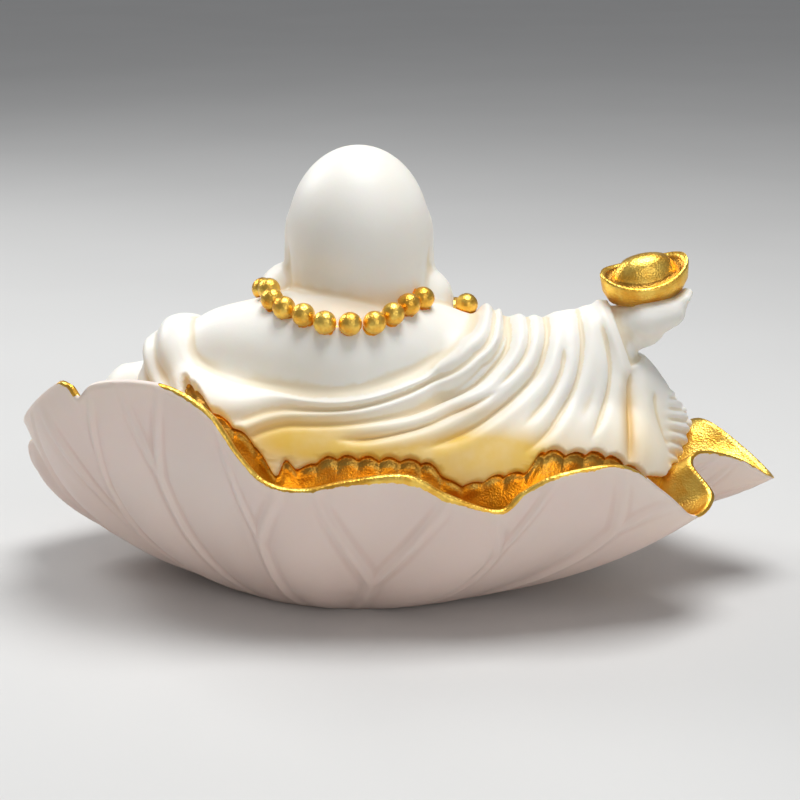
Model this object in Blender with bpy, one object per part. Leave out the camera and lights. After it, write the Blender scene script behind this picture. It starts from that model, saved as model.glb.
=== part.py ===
"""Laughing buddha seated in a curled lotus leaf, an ornament cast in one piece of ivory resin.

The figure faces -Y, its right hand is at -X, +Z is up and the flat foot of the leaf lies on Z = 0.
Every length below is in millimetres, and MM turns it into metres where a mesh is made.
The figure is blocked out from rounded masses, fused and relaxed like clay, then carved with curves.
"""

import math

import bmesh
import bpy
import numpy as np
from mathutils import Matrix, Vector
from mathutils.bvhtree import BVHTree

MM = 0.001

# Overall sizes of the ornament.
LEAF_LENGTH = 157.0
LEAF_DEPTH = 84.0
FIGURE_HEIGHT = 90.5

# The leaf: its foot, its lip, the basin that the figure sits in, and its raised veins.
FOOT_LENGTH = 56.0
FOOT_DEPTH = 40.0
FOOT_CENTRE_X = 8.0
FOOT_LEVEL = 0.35
BASIN_FLOOR = 9.0
LIP_THICKNESS = 1.5
LIP_ROUND = 0.35
BASIN_SHARE = 0.94
FILL_RISE = 4.0
VEIN_HEIGHT = 0.65
VEIN_HALF_WIDTH = 1.0
VEIN_GROOVE = 0.4
GROOVE_AT = 2.1
VEIN_COUNT = 17
VEIN_FORK = 0.58
VEIN_FORK_CHANGE = 0.2
VEIN_START = 88.0
VEIN_SWAY = 2.0
VEIN_SWAY_STEP = 3.1
VEIN_FORK_ANGLE = 7.0

# Millimetres round the leaf for each degree, at the foot, and how many more there are at the rim.
DEGREE_AT_FOOT = 0.55
DEGREE_GAIN = 0.95

# Gentle swelling of the blade between the veins.
BLADE_SWELL = 0.4

# Valleys below the notches of the rim, and lobes beside them, as (angle, half-width, height).
BLADE_WAVES = ((31, 4.5, -1.6), (17, 8, 0.9), (357, 5, -1.2), (345, 6, 1.6), (139, 5, -1.6), (151, 6, 0.8))

# How the leaf's wall swells, as shares of its reach and rise, and how full its inside is, by angle.
WALL_SPREAD = (
    (0, 0.86), (20, 0.82), (45, 0.84), (90, 0.86), (130, 0.8), (150, 0.62),
    (180, 0.52), (210, 0.6), (270, 0.7), (330, 0.84), (348, 0.95),
)
WALL_RISE = (
    (0, 0.25), (90, 0.25), (130, 0.3), (150, 0.42), (180, 0.45), (210, 0.42), (270, 0.33), (330, 0.28),
)
FILL_WIDTH = (
    (0, 3.0), (40, 6.0), (60, 7.0), (120, 7.0), (140, 4.0), (180, 2.5), (270, 3.0), (330, 3.0),
)
FILL_DROP = (
    (0, 26.0), (40, 16.0), (60, 12.0), (120, 12.0), (140, 18.0), (180, 26.0), (270, 26.0), (330, 26.0),
)

# The robe: how far the cloth stands off the skin, and its rolled hem and folds.
CLOTH = 1.2
FOLD_DEPTH = 1.0
FOLD_HALF_WIDTH = 0.95
SLEEVE_END = 42.2
SLEEVE_TOP = 57.5
SLEEVE_SLANT = 0.3
SLEEVE_ROLL = 0.45
CUFF_WIDTH = 1.6
CUFF_SOFTNESS = 1.0
CUFF_ABOVE = (44.0, 47.0)
FOLD_FADES_IN = (0.0, 0.2)
FOLD_FADES_OUT = (0.7, 1.0)
RUFFLE_SLANT = 0.4
SCALLOP_AT = 1.6
SCALLOP_SOFTNESS = 1.3
SCALLOP_POWER = 0.8
BORDER_FADE = 4.0
RUFFLE_PITCH = 2.4
RUFFLE_HEIGHT = 0.35
SCALLOP_PITCH = 4.0
SCALLOP_HEIGHT = 0.7
SCALLOP_SWELL = 0.5

# How a fold's crease is made up: a soft hollow, a sharp bottom, and raised shoulders.
CREASE_SOFT = 0.6
CREASE_SHARP = 0.5
CREASE_POINT = 0.4
CREASE_SHOULDER = 0.22
SHOULDER_AT = 2.2
SHOULDER_WIDTH = 1.2

# Rolls and creases along the hem over the back, as (distance from its edge, half-width, height).
HEM_BANDS = ((1.9, 1.4, 1.4), (3.4, 0.6, -0.5), (4.4, 0.8, 0.8), (5.5, 0.65, -0.9))
HEM_SPREAD = 0.9
HEM_SPREAD_BETWEEN = (20.0, 40.0)

# Where cloth gives way to the bare head, hands and feet, and the back to the front, as soft limits.
CLOTH_EDGE = (-1.3, 1.3)
BACK_BETWEEN = (-2.0, 3.0)
HEAD_ABOVE = 68.0
HEAD_HALF_WIDTH = 21.0
BARE = -9.0
CUFF_EDGE = (0.0, 0.6)
RIGHT_HAND_ABOVE = (46.6, 47.4)
LIMB_EDGE = (-1.2, -0.4)
FOLDS_FROM = (3.2, 6.0)
FACE_BEFORE = (4.0, 8.0)
RUFFLE_BEYOND = (52.0, 55.0)
RUFFLE_BELOW = (38.0, 41.0)
BORDER_EDGE = (-0.4, 0.5)

# The necklace and the ingot on the raised palm.
BEAD_RADIUS = 2.3
BEAD_PITCH = 5.0
BEAD_SUNK = 0.35
NECKLACE_NAPE = 7.0
NECKLACE_SLOPE = 16.0
BEAD_SEGMENTS = 7
BEAD_RINGS = 4
INGOT_LENGTH = 18.4
INGOT_WIDTH = 11.8
INGOT_HEIGHT = 8.2

# Fineness of the clay and of the final facets.
BODY_SOFTNESS = 2.2
HEAD_SOFTNESS = 0.9
LIMB_SOFTNESS = 0.5
WHOLE_SOFTNESS = 0.7
BODY_VOXEL = 0.9
DETAIL_VOXEL = 0.6
FIGURE_TRIANGLES = 4400
LEAF_TRIANGLES = 2800
LEAF_STATIONS = 480
LEAF_WALL_ROWS = 40
LEAF_INNER_ROWS = 10
INGOT_SEGMENTS = 18
RIM_SAMPLES = 4000
LINE_SAMPLES = 300

# The resin's colour and finish.
IVORY = (0.86, 0.80, 0.66, 1.0)
IVORY_ROUGHNESS = 0.42

# The figure's own measures were taken at this height and grow with FIGURE_HEIGHT about its seat.
DRAWN_HEIGHT = 90.5
SEAT = np.array([8.0, 0.0, 0.0])

# The leaf's rim as (angle in degrees from +X, x, y, z), drawn on a leaf of this length and depth.
DRAWN_LENGTH = 157.0
DRAWN_DEPTH = 84.0
RIM = (
    (2, 76.8, 4, 34.5),
    (12, 73.0, 13, 41.0),
    (20, 67.5, 19, 46.5),
    (27, 64.6, 22.5, 47.2),
    (31, 62.4, 24.0, 45.0),
    (35, 59.2, 26.5, 48.4),
    (43, 52.0, 30, 50.0),
    (53, 43.5, 32.5, 49.2),
    (60, 36.0, 35, 44.8),
    (65, 30.8, 36.2, 37.4),
    (70, 25.5, 37.4, 32.2),
    (76, 18.4, 38.4, 31.0),
    (83, 10.0, 38.8, 32.8),
    (91, -1.5, 39.0, 34.0),
    (98, -9.5, 38.6, 30.0),
    (105, -19.0, 38.2, 26.8),
    (110, -24.0, 37.0, 30.2),
    (116, -31.0, 36.2, 33.4),
    (126, -43.0, 33.0, 34.0),
    (133, -51.5, 29.5, 27.6),
    (139, -58.0, 25.5, 21.4),
    (145, -62.4, 18.8, 23.6),
    (151, -58.8, 13.5, 28.4),
    (157, -61.8, 9.5, 29.6),
    (167, -70.0, 5.0, 26.6),
    (178, -78.0, -0.5, 21.0),
    (189, -73.0, -9.0, 25.0),
    (200, -65.5, -15.5, 29.0),
    (210, -59.5, -25.0, 24.0),
    (222, -51.0, -35.0, 19.5),
    (235, -38.0, -40.5, 24.0),
    (248, -24.0, -44.0, 18.5),
    (262, -6.0, -45.0, 22.5),
    (276, 10.0, -44.5, 17.5),
    (290, 26.0, -43.0, 22.0),
    (304, 41.0, -40.0, 18.5),
    (318, 55.0, -33.0, 24.0),
    (330, 66.0, -26, 20.5),
    (341, 75.5, -18, 23.0),
    (349, 79.0, -11.5, 25.5),
    (355, 74.6, -3.5, 29.0),
)

# The heavy rolls of the neck that lie over the necklace on each shoulder.
LEFT_ROLL = (21.9, -6, 58.4, 7.7)
RIGHT_ROLL = (-3.8, -3.5, 58.2, 7.4)
ROLL_COVER = 1.7

# Where beads are tucked out of sight under the neck, as (x, y, z, radius).
TUCKED = (
    (*LEFT_ROLL[:3], LEFT_ROLL[3] + ROLL_COVER),
    (*RIGHT_ROLL[:3], RIGHT_ROLL[3] + ROLL_COVER),
    (-9.8, 5.2, 60.6, 3.4),
    (25.0, 4.0, 63.6, 2.5),
)

# Rounded masses of the seated body, each the skin stretched over balls given as (x, y, z, radius).
BODY_MASSES = {
    "shoulders": ((34, 5, 49.3, 10), (-8, 4, 49.5, 9.5), (12, 7, 47.5, 17), (11, -6, 47, 13.5)),
    "nape": ((8.3, 3, 55, 10),),
    "breast_left": ((20, -15, 49, 9),),
    "breast_right": ((-3, -15, 49, 9),),
    "belly": ((16, -11, 36, 21), (2, -11, 36, 21), (9, -12, 30, 21)),
    "loins": ((28, 8, 28, 21.5), (9, 10, 26, 22.5), (-24, 10, 25, 20), (-38, 8, 25, 16.5)),
    "left_upper_arm": ((34, 5, 49.2, 9.4), (42.2, 4, 45.4, 9.7), (42.6, 4, 41, 10)),
    "left_sleeve": ((42.6, 5, 40, 10.2), (34, 17, 36, 11.5), (44, 8, 28, 11)),
    "left_forearm": ((43, 2, 40, 8.6), (48.5, -15, 39.2, 5.0)),
    "left_thigh": ((55.8, -18, 33.2, 7.8), (26, -8, 24, 14)),
    "left_shin": ((55, -20, 28, 8), (14, -31, 19, 7)),
    "right_upper_arm": ((-9, 3, 49.3, 8.6), (-27, 3, 46.6, 8.2)),
    "right_forearm": ((-27, 3, 46.6, 8.2), (-43, 1, 52, 6.2)),
    "right_sleeve": ((-13, 9, 47, 8.5), (-40, 3, 48, 6.6), (-42, 9, 28, 8), (-14, 18, 28, 13)),
    "right_thigh": ((-43.5, -6, 37.5, 10), (-10, -6, 26, 14)),
    "right_shin": ((-44, -7, 37.5, 9.6), (-45, -20, 23, 7.4), (-46, -7, 26, 11)),
    "right_skirt": ((-46, 1, 41.5, 6.5), (-53.2, -1, 31.8, 6.0), (-47, 9, 27, 7)),
    "knee_ruffle": ((-52.6, -11, 37.0, 2.6), (-59.6, -13, 29.0, 2.4), (-50, -9, 30, 6)),
    "lap": ((42, -2, 16, 10), (-40, -2, 16, 10), (8, -26, 15, 8), (8, 20, 18, 12)),
}

# The head and its features. The cranium is an ellipsoid, given by its centre and half-axes.
CRANIUM = ((8.3, -1.0, 73.2), (14.3, 15.4, 17.3))
HEAD_MASSES = {
    "nape": ((8.3, -0.9, 72, 13.9), (8.3, 0.3, 60, 13.6)),
    "left_roll": (LEFT_ROLL, (14, -4, 56, 9)),
    "right_roll": (RIGHT_ROLL, (3, -4, 56, 9)),
    "jaw": ((3.5, -6, 66.5, 9.5), (13.1, -6, 66.5, 9.5), (8.3, -9, 63.5, 7)),
    "double_chin": ((3, -8, 59.5, 6.5), (13.6, -8, 59.5, 6.5)),
    "chin": ((8.3, -14.4, 63.4, 3.0),),
    "nose_bridge": ((8.3, -15.6, 75.8, 1.5), (8.3, -17.3, 71.4, 2.1)),
    "left_nostril": ((10.4, -15.9, 70.9, 1.5),),
    "right_nostril": ((6.2, -15.9, 70.9, 1.5),),
    "left_cheek": ((15.3, -11.4, 69.2, 4.4),),
    "right_cheek": ((1.3, -11.4, 69.2, 4.4),),
    "lips": ((5.6, -14.7, 66.7, 1.7), (11.0, -14.7, 66.7, 1.7)),
}
EAR_BALLS = ((12.6, -3, 77, 1.6), (13.4, -2, 74.4, 1.8), (13.5, -4, 68, 1.6), (13.6, -4, 63.6, 2))

# Hands and feet, with each finger or toe a tapered ball pair.
LIMB_MASSES = {
    "right_wrist": ((-42, 1, 52.6, 5.4), (-49.5, 0.5, 54.0, 4.6)),
    "right_palm": (
        (-49.5, -1.5, 55.4, 4.2), (-49.5, 3, 55.4, 4.2), (-55, 3, 57.2, 2.8), (-55, -3, 57.2, 2.8),
    ),
    "left_wrist": ((47.6, -15, 39.4, 4.6), (50.5, -21, 39.9, 3.4)),
    "left_palm": ((50, -21, 38.8, 3.2), (55.5, -20, 37.6, 3.0), (54, -27, 36.8, 2.4), (58, -23, 36.0, 2.4)),
    "left_thumb": ((49.5, -21, 38.6, 1.7), (49.6, -27.4, 34.6, 1.4)),
    "right_thumb": ((-49.5, -4.5, 56.4, 1.7), (-52.5, -6.9, 60.8, 1.3)),
    "right_foot": ((-43.5, -23, 19.6, 4.8), (-36.5, -31.8, 18.2, 3.4), (-40.5, -32.2, 17.8, 3.0)),
    "left_foot": ((10, -33, 17.5, 5.0), (-7, -35.5, 15.6, 3.6), (-6, -33, 18.2, 3.0)),
}
RIGHT_FINGERS = {
    "root": (-54.0, 0.0, 57.0),
    "tip": (-58.3, 0.0, 60.7),
    "side": (0.0, 1.35, 0.0),
    "closing": 0.75,
    "radii": (1.5, 1.15),
}
LEFT_FINGERS = {
    "root": (56.8, -25.6, 36.0),
    "tip": (58.9, -29.4, 28.2),
    "side": (-1.2, -0.75, 0.0),
    "closing": 1.25,
    "radii": (1.4, 1.05),
}
FINGER_OFFSETS = (-3, -1, 1, 3)
FINGER_REACH = (0.8, 1.0, 1.05, 0.9)
BARE_LIMBS = ("left_palm", "left_thumb", "left_foot", "right_foot")

# The line of the necklace round the neck and over the chest.
NECKLACE = [
    (26.6, 3, 57.6), (23.6, 8.5, 58.6), (19.2, 12, 58.2), (15, 15, 57.3), (9.8, 16, 57.2), (5.1, 16, 57.6),
    (0.3, 14, 59.6), (-3.7, 12, 61.4), (-6.1, 9.5, 62.0), (-12.8, 2, 57.6), (-12.8, -5, 56.6),
    (-11.5, -12, 54.5), (-5.5, -19, 49), (2, -22, 46), (9, -23, 45), (17, -22, 46), (23.5, -17, 49.5),
    (27.2, -10.5, 53), (28.3, -5, 56.5),
]

# The ingot's seat on the palm, its tip, and its rings as (share of length, share of width, low, end lift).
INGOT_SEAT = (-50.0, -1.6, 59.9)
INGOT_YAW = 13.0
INGOT_PITCH = 7.0
INGOT_ROLL = -21.0
INGOT_PROFILE = (
    (0.62, 0.58, 0.0, 0.0),
    (0.86, 0.84, 0.10, 0.0),
    (0.97, 0.98, 0.34, 0.04),
    (1.0, 1.0, 0.56, 0.24),
    (0.97, 0.94, 0.62, 0.27),
    (0.88, 0.83, 0.60, 0.15),
    (0.78, 0.74, 0.56, 0.0),
    (0.70, 0.66, 0.74, 0.0),
    (0.52, 0.48, 1.0, 0.0),
    (0.22, 0.20, 1.12, 0.0),
)

# Edges of the bare skin in the X-Z plane: the low hem across the back, and the open robe in front.
BACK_HEM = ((43, 75), (42.6, 60), (42.0, 55), (41.4, 51.3), (38.8, 48.6), (32.8, 46.8), (25.7, 46),
            (17.6, 45.9), (8.3, 46.4), (-0.8, 48), (-7.8, 50.6), (-12.2, 53.6), (-15.8, 58), (-17, 75))
FRONT_HEM = ((43, 75), (42, 57), (34.5, 52), (31.5, 42), (33, 30), (28, 19), (9, 14.5), (-9, 19),
             (-14.5, 30), (-12.5, 42), (-13, 52), (-16.4, 59), (-17, 75))

# The lower hem of the robe across the back, along the gold border of the leaf, in the X-Z plane.
LOWER_HEM = (
    (-66, 26.4), (-58, 26.4), (-50.4, 26.9), (-44, 31), (-38.6, 33.3), (-33, 34), (-27.7, 34.8),
    (-24.4, 31.7), (-19, 31), (-13, 29.6), (-9.5, 30.2), (-5, 33.6), (3.8, 34.6), (13.3, 34.8),
    (19, 32.6), (22, 33.8), (24, 31.4), (28.7, 37.4), (35.8, 42.6), (42, 45.2), (44, 30), (60, 20),
)
BORDER_RECESS = 0.8
BORDER_FRONT = ((-60, -8), (-48, -2), (-42, 6), (42, 6))

# Folds over the back as (points in the X-Z plane, depth, half-width), pressed in where depth is positive.
BACK_FOLDS = (
    (((-21, 64), (-21.6, 54), (-17.5, 48.8), (-11.5, 45.2), (-2, 42.0), (9, 40.4)), 1.7, 1.1),
    (((-28.5, 64), (-29.6, 56), (-27.4, 49), (-23.3, 45), (-17.3, 41.3), (-9.6, 37.6), (-2, 35.6)),
     1.5, 1.1),
    (((-20, 45.4), (-11.1, 42.0), (-3.8, 39.7), (6, 38.2), (14, 37.9)), 1.2, 0.8),
    (((-35.0, 64), (-36.2, 53), (-34.2, 45), (-29, 38.5), (-22, 33.8)), 0.9, 1.0),
    (((-32.3, 52), (-31.5, 47.5), (-28.3, 43), (-23, 38.5)), 0.6, 0.8),
    (((-25.6, 60), (-25.4, 53), (-22.5, 48.6), (-17, 44.6)), 0.5, 0.8),
    (((-40.2, 57), (-41.4, 47), (-39.7, 40), (-36, 35)), 0.8, 0.9),
    (((-45.6, 47), (-45.4, 38), (-44.4, 28)), 1.3, 1.3),
    (((-50.5, 42), (-51.6, 36), (-54.5, 28)), 0.6, 1.1),
)

# Lines on the front as (points in the X-Z plane, height, half-width), raised where height is positive.
FRONT_LINES = (
    (((5.9, 73.3), (3.3, 74.4), (0.4, 72.9)), -0.55, 0.5),
    (((10.7, 73.3), (13.3, 74.4), (16.2, 72.9)), -0.55, 0.5),
    (((6.4, 77.4), (3.0, 79.0), (-1.0, 76.8)), 0.45, 0.8),
    (((10.2, 77.4), (13.6, 79.0), (17.6, 76.8)), 0.45, 0.8),
    (((3.4, 67.2), (5.8, 66.3), (8.3, 66.0), (10.8, 66.3), (13.2, 67.2)), -0.8, 0.6),
    (((4.6, 70.4), (2.4, 67.8), (2.2, 66.0)), -0.4, 0.6),
    (((12.0, 70.4), (14.2, 67.8), (14.4, 66.0)), -0.4, 0.6),
    (((-10, 46), (-4, 42.4), (3, 42.2), (7.5, 44.2)), -0.8, 1.0),
    (((27, 46), (21, 42.4), (14, 42.2), (9.5, 44.2)), -0.8, 1.0),
    (((8.6, 31.6), (8.4, 33.2)), -1.6, 1.3),
)

# Folds over the knees and the lap as (points in the X-Z plane, depth, half-width).
FRONT_FOLDS = (
    (((-36, 46), (-31, 38), (-28.5, 29), (-29.5, 21), (-32, 15)), 1.1, 1.3),
    (((-28, 46), (-22.5, 37), (-19.5, 28), (-19.5, 20), (-21, 14)), 1.2, 1.4),
    (((-43, 40), (-39.5, 32), (-38.5, 24), (-40, 16)), 0.9, 1.2),
    (((34, 42), (37.5, 34), (37.5, 26), (34, 19), (28, 15)), 1.1, 1.3),
    (((40, 37), (45, 31), (46.5, 25), (44, 19)), 0.9, 1.2),
)


def metres(points):
    return [tuple(float(c) * MM for c in p) for p in points]


def figure_scale():
    return FIGURE_HEIGHT / DRAWN_HEIGHT


def grown(points):
    """Points drawn on the figure, at the figure's real height."""
    return SEAT + (np.asarray(points, float) - SEAT) * figure_scale()


def new_object(name, mesh):
    obj = bpy.data.objects.new(name, mesh)
    bpy.context.scene.collection.objects.link(obj)
    return obj


def mesh_from_bmesh(bm, name="clay"):
    mesh = bpy.data.meshes.new(name)
    bm.to_mesh(mesh)
    bm.free()
    return mesh


def ball_hull(balls):
    """The convex skin stretched over balls of (x, y, z, radius)."""
    bm = bmesh.new()
    for x, y, z, radius in balls:
        place = Matrix.Translation(Vector(grown((x, y, z))) * MM)
        size = radius * figure_scale() * MM
        bmesh.ops.create_icosphere(bm, subdivisions=3, radius=size, matrix=place)
    if len(balls) > 1:
        made = bmesh.ops.convex_hull(bm, input=bm.verts)
        covered = made["geom_interior"] + made["geom_unused"]
        inner = list({e for e in covered if isinstance(e, bmesh.types.BMVert)})
        bmesh.ops.delete(bm, geom=inner, context="VERTS")
        holes = [f for f in made["geom_holes"] if isinstance(f, bmesh.types.BMFace) and f.is_valid]
        bmesh.ops.delete(bm, geom=holes, context="FACES_ONLY")
    return mesh_from_bmesh(bm)


def ellipsoid(centre, half_axes):
    bm = bmesh.new()
    size = Matrix.Diagonal((*half_axes, 1.0))
    place = Matrix.Translation(Vector(grown(centre)) * MM)
    shape = place @ Matrix.Scale(figure_scale() * MM, 4) @ size
    bmesh.ops.create_icosphere(bm, subdivisions=4, radius=1.0, matrix=shape)
    return mesh_from_bmesh(bm)


def evaluated(obj):
    """The object's mesh with its modifiers applied, the object itself removed."""
    graph = bpy.context.evaluated_depsgraph_get()
    mesh = bpy.data.meshes.new_from_object(obj.evaluated_get(graph))
    bpy.data.objects.remove(obj)
    return mesh


def fused(meshes, voxel):
    """One closed skin round all the meshes."""
    obj = new_object("fusing", mesh_joined(meshes))
    remesh = obj.modifiers.new("Clay", "REMESH")
    remesh.mode = "VOXEL"
    remesh.voxel_size = voxel * MM
    return evaluated(obj)


def points_of(mesh):
    points = np.empty(len(mesh.vertices) * 3, np.float32)
    mesh.vertices.foreach_get("co", points)
    return points.reshape(-1, 3).astype(float) / MM


def set_points(mesh, points):
    mesh.vertices.foreach_set("co", (points * MM).astype(np.float32).ravel())
    mesh.update()


def normals_of(mesh):
    normals = np.empty(len(mesh.vertices) * 3, np.float32)
    mesh.vertex_normals.foreach_get("vector", normals)
    return normals.reshape(-1, 3).astype(float)


def relaxed(mesh, reach, voxel):
    """Softens creases over about reach millimetres, by moving each point towards its neighbours."""
    edges = np.empty(len(mesh.edges) * 2, np.int32)
    mesh.edges.foreach_get("vertices", edges)
    a, b = edges.reshape(-1, 2).T
    points = points_of(mesh)
    count = len(points)
    degree = np.bincount(a, minlength=count) + np.bincount(b, minlength=count)
    rounds = round((2 * reach / voxel) ** 2)
    for _ in range(rounds):
        total = np.empty_like(points)
        for k in range(3):
            total[:, k] = np.bincount(a, points[b, k], count) + np.bincount(b, points[a, k], count)
        points += (total / degree[:, None] - points) / 2
    set_points(mesh, points)
    return mesh


def smooth_through(points, count=40):
    """A Catmull-Rom curve through the points, with count samples."""
    p = np.array(points, float)
    p = np.vstack([2 * p[0] - p[1], p, 2 * p[-1] - p[-2]])
    at = np.linspace(0, len(p) - 3, count)
    i = np.minimum(at.astype(int), len(p) - 4)
    t = (at - i)[:, None]
    a, b, c, d = p[i], p[i + 1], p[i + 2], p[i + 3]
    return 0.5 * (2 * b + (c - a) * t + (2 * a - 5 * b + 4 * c - d) * t**2 + (3 * b - 3 * c + d - a) * t**3)


def distance_to(flat, curve):
    """Each 2-D point's distance to a curve, and how far along it (0 to 1) the nearest point is."""
    best = np.full(len(flat), 1e9)
    along = np.zeros(len(flat))
    for k in range(len(curve) - 1):
        a, ab = curve[k], curve[k + 1] - curve[k]
        t = np.clip(((flat - a) @ ab) / max(ab @ ab, 1e-9), 0, 1)
        d = np.linalg.norm(flat - a - t[:, None] * ab, axis=1)
        near = d < best
        best[near] = d[near]
        along[near] = (k + t[near]) / (len(curve) - 1)
    return best, along


def inside(flat, outline):
    """Which 2-D points lie inside a closed outline."""
    x, z = flat.T
    hit = np.zeros(len(flat), bool)
    for (x0, z0), (x1, z1) in zip(outline, np.roll(outline, -1, axis=0)):
        crosses = (z0 > z) != (z1 > z)
        hit ^= crosses & (x < (x1 - x0) * (z - z0) / ((z1 - z0) if z1 != z0 else 1e-9) + x0)
    return hit


def step(value, low, high):
    t = np.clip((value - low) / (high - low), 0, 1)
    return t * t * (3 - 2 * t)


def bump(distance, half_width):
    return np.exp(-((distance / half_width) ** 2))


def crease(distance, half_width):
    """A sharp-bottomed crease between soft shoulders."""
    hollow = CREASE_SOFT * bump(distance, half_width)
    bottom = CREASE_SHARP * bump(distance, CREASE_POINT * half_width)
    shoulder = CREASE_SHOULDER * bump(distance - SHOULDER_AT * half_width, SHOULDER_WIDTH * half_width)
    return hollow + bottom - shoulder


def robe_depth(p, hem):
    """How far each drawn point lies inside the robe's cloth from the hem's edge, negative on bare skin."""
    edge = smooth_through(hem, LINE_SAMPLES)
    d, _ = distance_to(p[:, [0, 2]], edge)
    return np.where(inside(p[:, [0, 2]], edge), -d, d)


def scallops(x):
    """Rounded waves from 0 to 1 along the gold border."""
    return abs(np.sin(np.pi * x / SCALLOP_PITCH)) ** SCALLOP_POWER


def depth_within(p, balls):
    """How deep each drawn point lies in the limb stretched over the balls, negative outside it."""
    deepest = np.full(len(p), BARE)
    for k, first in enumerate(balls):
        for second in balls[k + 1 :]:
            a, along = np.array(first, float), np.subtract(second, first)
            t = np.clip(((p - a[:3]) @ along[:3]) / (along[:3] @ along[:3]), 0, 1)
            gap = np.linalg.norm(p - a[:3] - t[:, None] * along[:3], axis=1)
            deepest = np.maximum(deepest, a[3] + t * along[3] - gap)
    return deepest


def lower_hem_height(x):
    line = smooth_through(LOWER_HEM, LINE_SAMPLES)
    return np.interp(x, line[:, 0], line[:, 1]) + SCALLOP_HEIGHT * scallops(x)


def robe_relief(p):
    """Height of the cloth, its rolled hem and its folds over the skin, at each drawn point."""
    flat = p[:, [0, 2]]
    x, y, z = p.T
    is_back = step(y, *BACK_BETWEEN)
    on_head = (z > HEAD_ABOVE) & (abs(x - CRANIUM[0][0]) < HEAD_HALF_WIDTH)
    depth = robe_depth(p, BACK_HEM) * is_back + robe_depth(p, FRONT_HEM) * (1 - is_back)
    depth = np.where(on_head, BARE, depth)
    past_cuff = -x - SLEEVE_END - SLEEVE_SLANT * (SLEEVE_TOP - z)
    right_hand = step(past_cuff, *CUFF_EDGE) * step(z, *RIGHT_HAND_ABOVE)
    bare = [LIMB_MASSES[name] for name in BARE_LIMBS] + fingers(LEFT_FINGERS)
    limbs = step(np.max([depth_within(p, balls) for balls in bare], axis=0), *LIMB_EDGE)
    cloth = step(depth, *CLOTH_EDGE) * (1 - np.maximum(right_hand, limbs))
    spread = 1 + HEM_SPREAD * step(x, *HEM_SPREAD_BETWEEN) * is_back
    relief = CLOTH * cloth
    for at, half_width, height in HEM_BANDS:
        share = 1.0 if at == HEM_BANDS[0][0] else is_back
        relief += height * share * cloth * bump(depth / spread - at, half_width)
    relief += SLEEVE_ROLL * bump(past_cuff + CUFF_WIDTH, CUFF_SOFTNESS) * step(z, *CUFF_ABOVE)
    for points, sunk, width in BACK_FOLDS:
        d, along = distance_to(flat, smooth_through(points))
        ends = (1 - step(along, *FOLD_FADES_OUT)) * step(along, *FOLD_FADES_IN)
        shown = step(depth, *FOLDS_FROM) * ends * is_back * cloth
        relief -= FOLD_DEPTH * sunk * crease(d, FOLD_HALF_WIDTH * width) * shown
    ruffle = np.sin(2 * np.pi * (z - RUFFLE_SLANT * y) / RUFFLE_PITCH)
    relief += RUFFLE_HEIGHT * ruffle * step(-x, *RUFFLE_BEYOND) * (1 - step(z, *RUFFLE_BELOW))
    border_front = np.interp(x, *np.array(BORDER_FRONT).T)
    drop = lower_hem_height(x) - z
    below = step(drop, *BORDER_EDGE) * step(y - border_front, 0, BORDER_FADE)
    swell = SCALLOP_SWELL * scallops(x) * bump(drop - SCALLOP_AT, SCALLOP_SOFTNESS)
    return relief - (relief + BORDER_RECESS - swell) * below


def front_relief(p):
    """The features of the face, the creases of the belly and the folds of the lap, at each drawn point."""
    relief = np.zeros(len(p))
    facing = step(-p[:, 1], *FACE_BEFORE)
    for points, sunk, width in FRONT_FOLDS:
        d, along = distance_to(p[:, [0, 2]], smooth_through(points))
        ends = step(along, *FOLD_FADES_IN) * (1 - step(along, *FOLD_FADES_OUT))
        relief -= FOLD_DEPTH * sunk * crease(d, FOLD_HALF_WIDTH * width) * ends * facing
    for points, height, width in FRONT_LINES:
        d, _ = distance_to(p[:, [0, 2]], smooth_through(points))
        relief += height * bump(d, width) * facing
    return relief


def fingers(hand):
    """The ball pairs of four fingers side by side."""
    root, tip, side = (np.array(hand[key], float) for key in ("root", "tip", "side"))
    root_radius, tip_radius = hand["radii"]
    made = []
    for offset, reach in zip(FINGER_OFFSETS, FINGER_REACH):
        start = root + offset * side
        end = root + reach * (tip - root) + offset * side * hand["closing"]
        made.append(((*start, root_radius), (*end, tip_radius)))
    return made


def made_figure():
    body = [ball_hull(balls) for balls in BODY_MASSES.values()]
    body = relaxed(fused(body, BODY_VOXEL), BODY_SOFTNESS, BODY_VOXEL)
    ears = [
        ball_hull([(CRANIUM[0][0] + side * x, y, z, r) for x, y, z, r in EAR_BALLS]) for side in (-1, 1)
    ]
    head = [ellipsoid(*CRANIUM)] + [ball_hull(b) for b in HEAD_MASSES.values()]
    head = relaxed(fused(head + ears, DETAIL_VOXEL), HEAD_SOFTNESS, DETAIL_VOXEL)
    limbs = [*LIMB_MASSES.values(), *fingers(RIGHT_FINGERS), *fingers(LEFT_FINGERS)]
    limbs = [ball_hull(balls) for balls in limbs]
    limbs = relaxed(fused(limbs, DETAIL_VOXEL), LIMB_SOFTNESS, DETAIL_VOXEL)
    figure = relaxed(fused([body, head, limbs], DETAIL_VOXEL), WHOLE_SOFTNESS, DETAIL_VOXEL)
    points = points_of(figure)
    drawn = SEAT + (points - SEAT) / figure_scale()
    relief = robe_relief(drawn) + front_relief(drawn)
    set_points(figure, points + normals_of(figure) * relief[:, None])
    return figure


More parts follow.
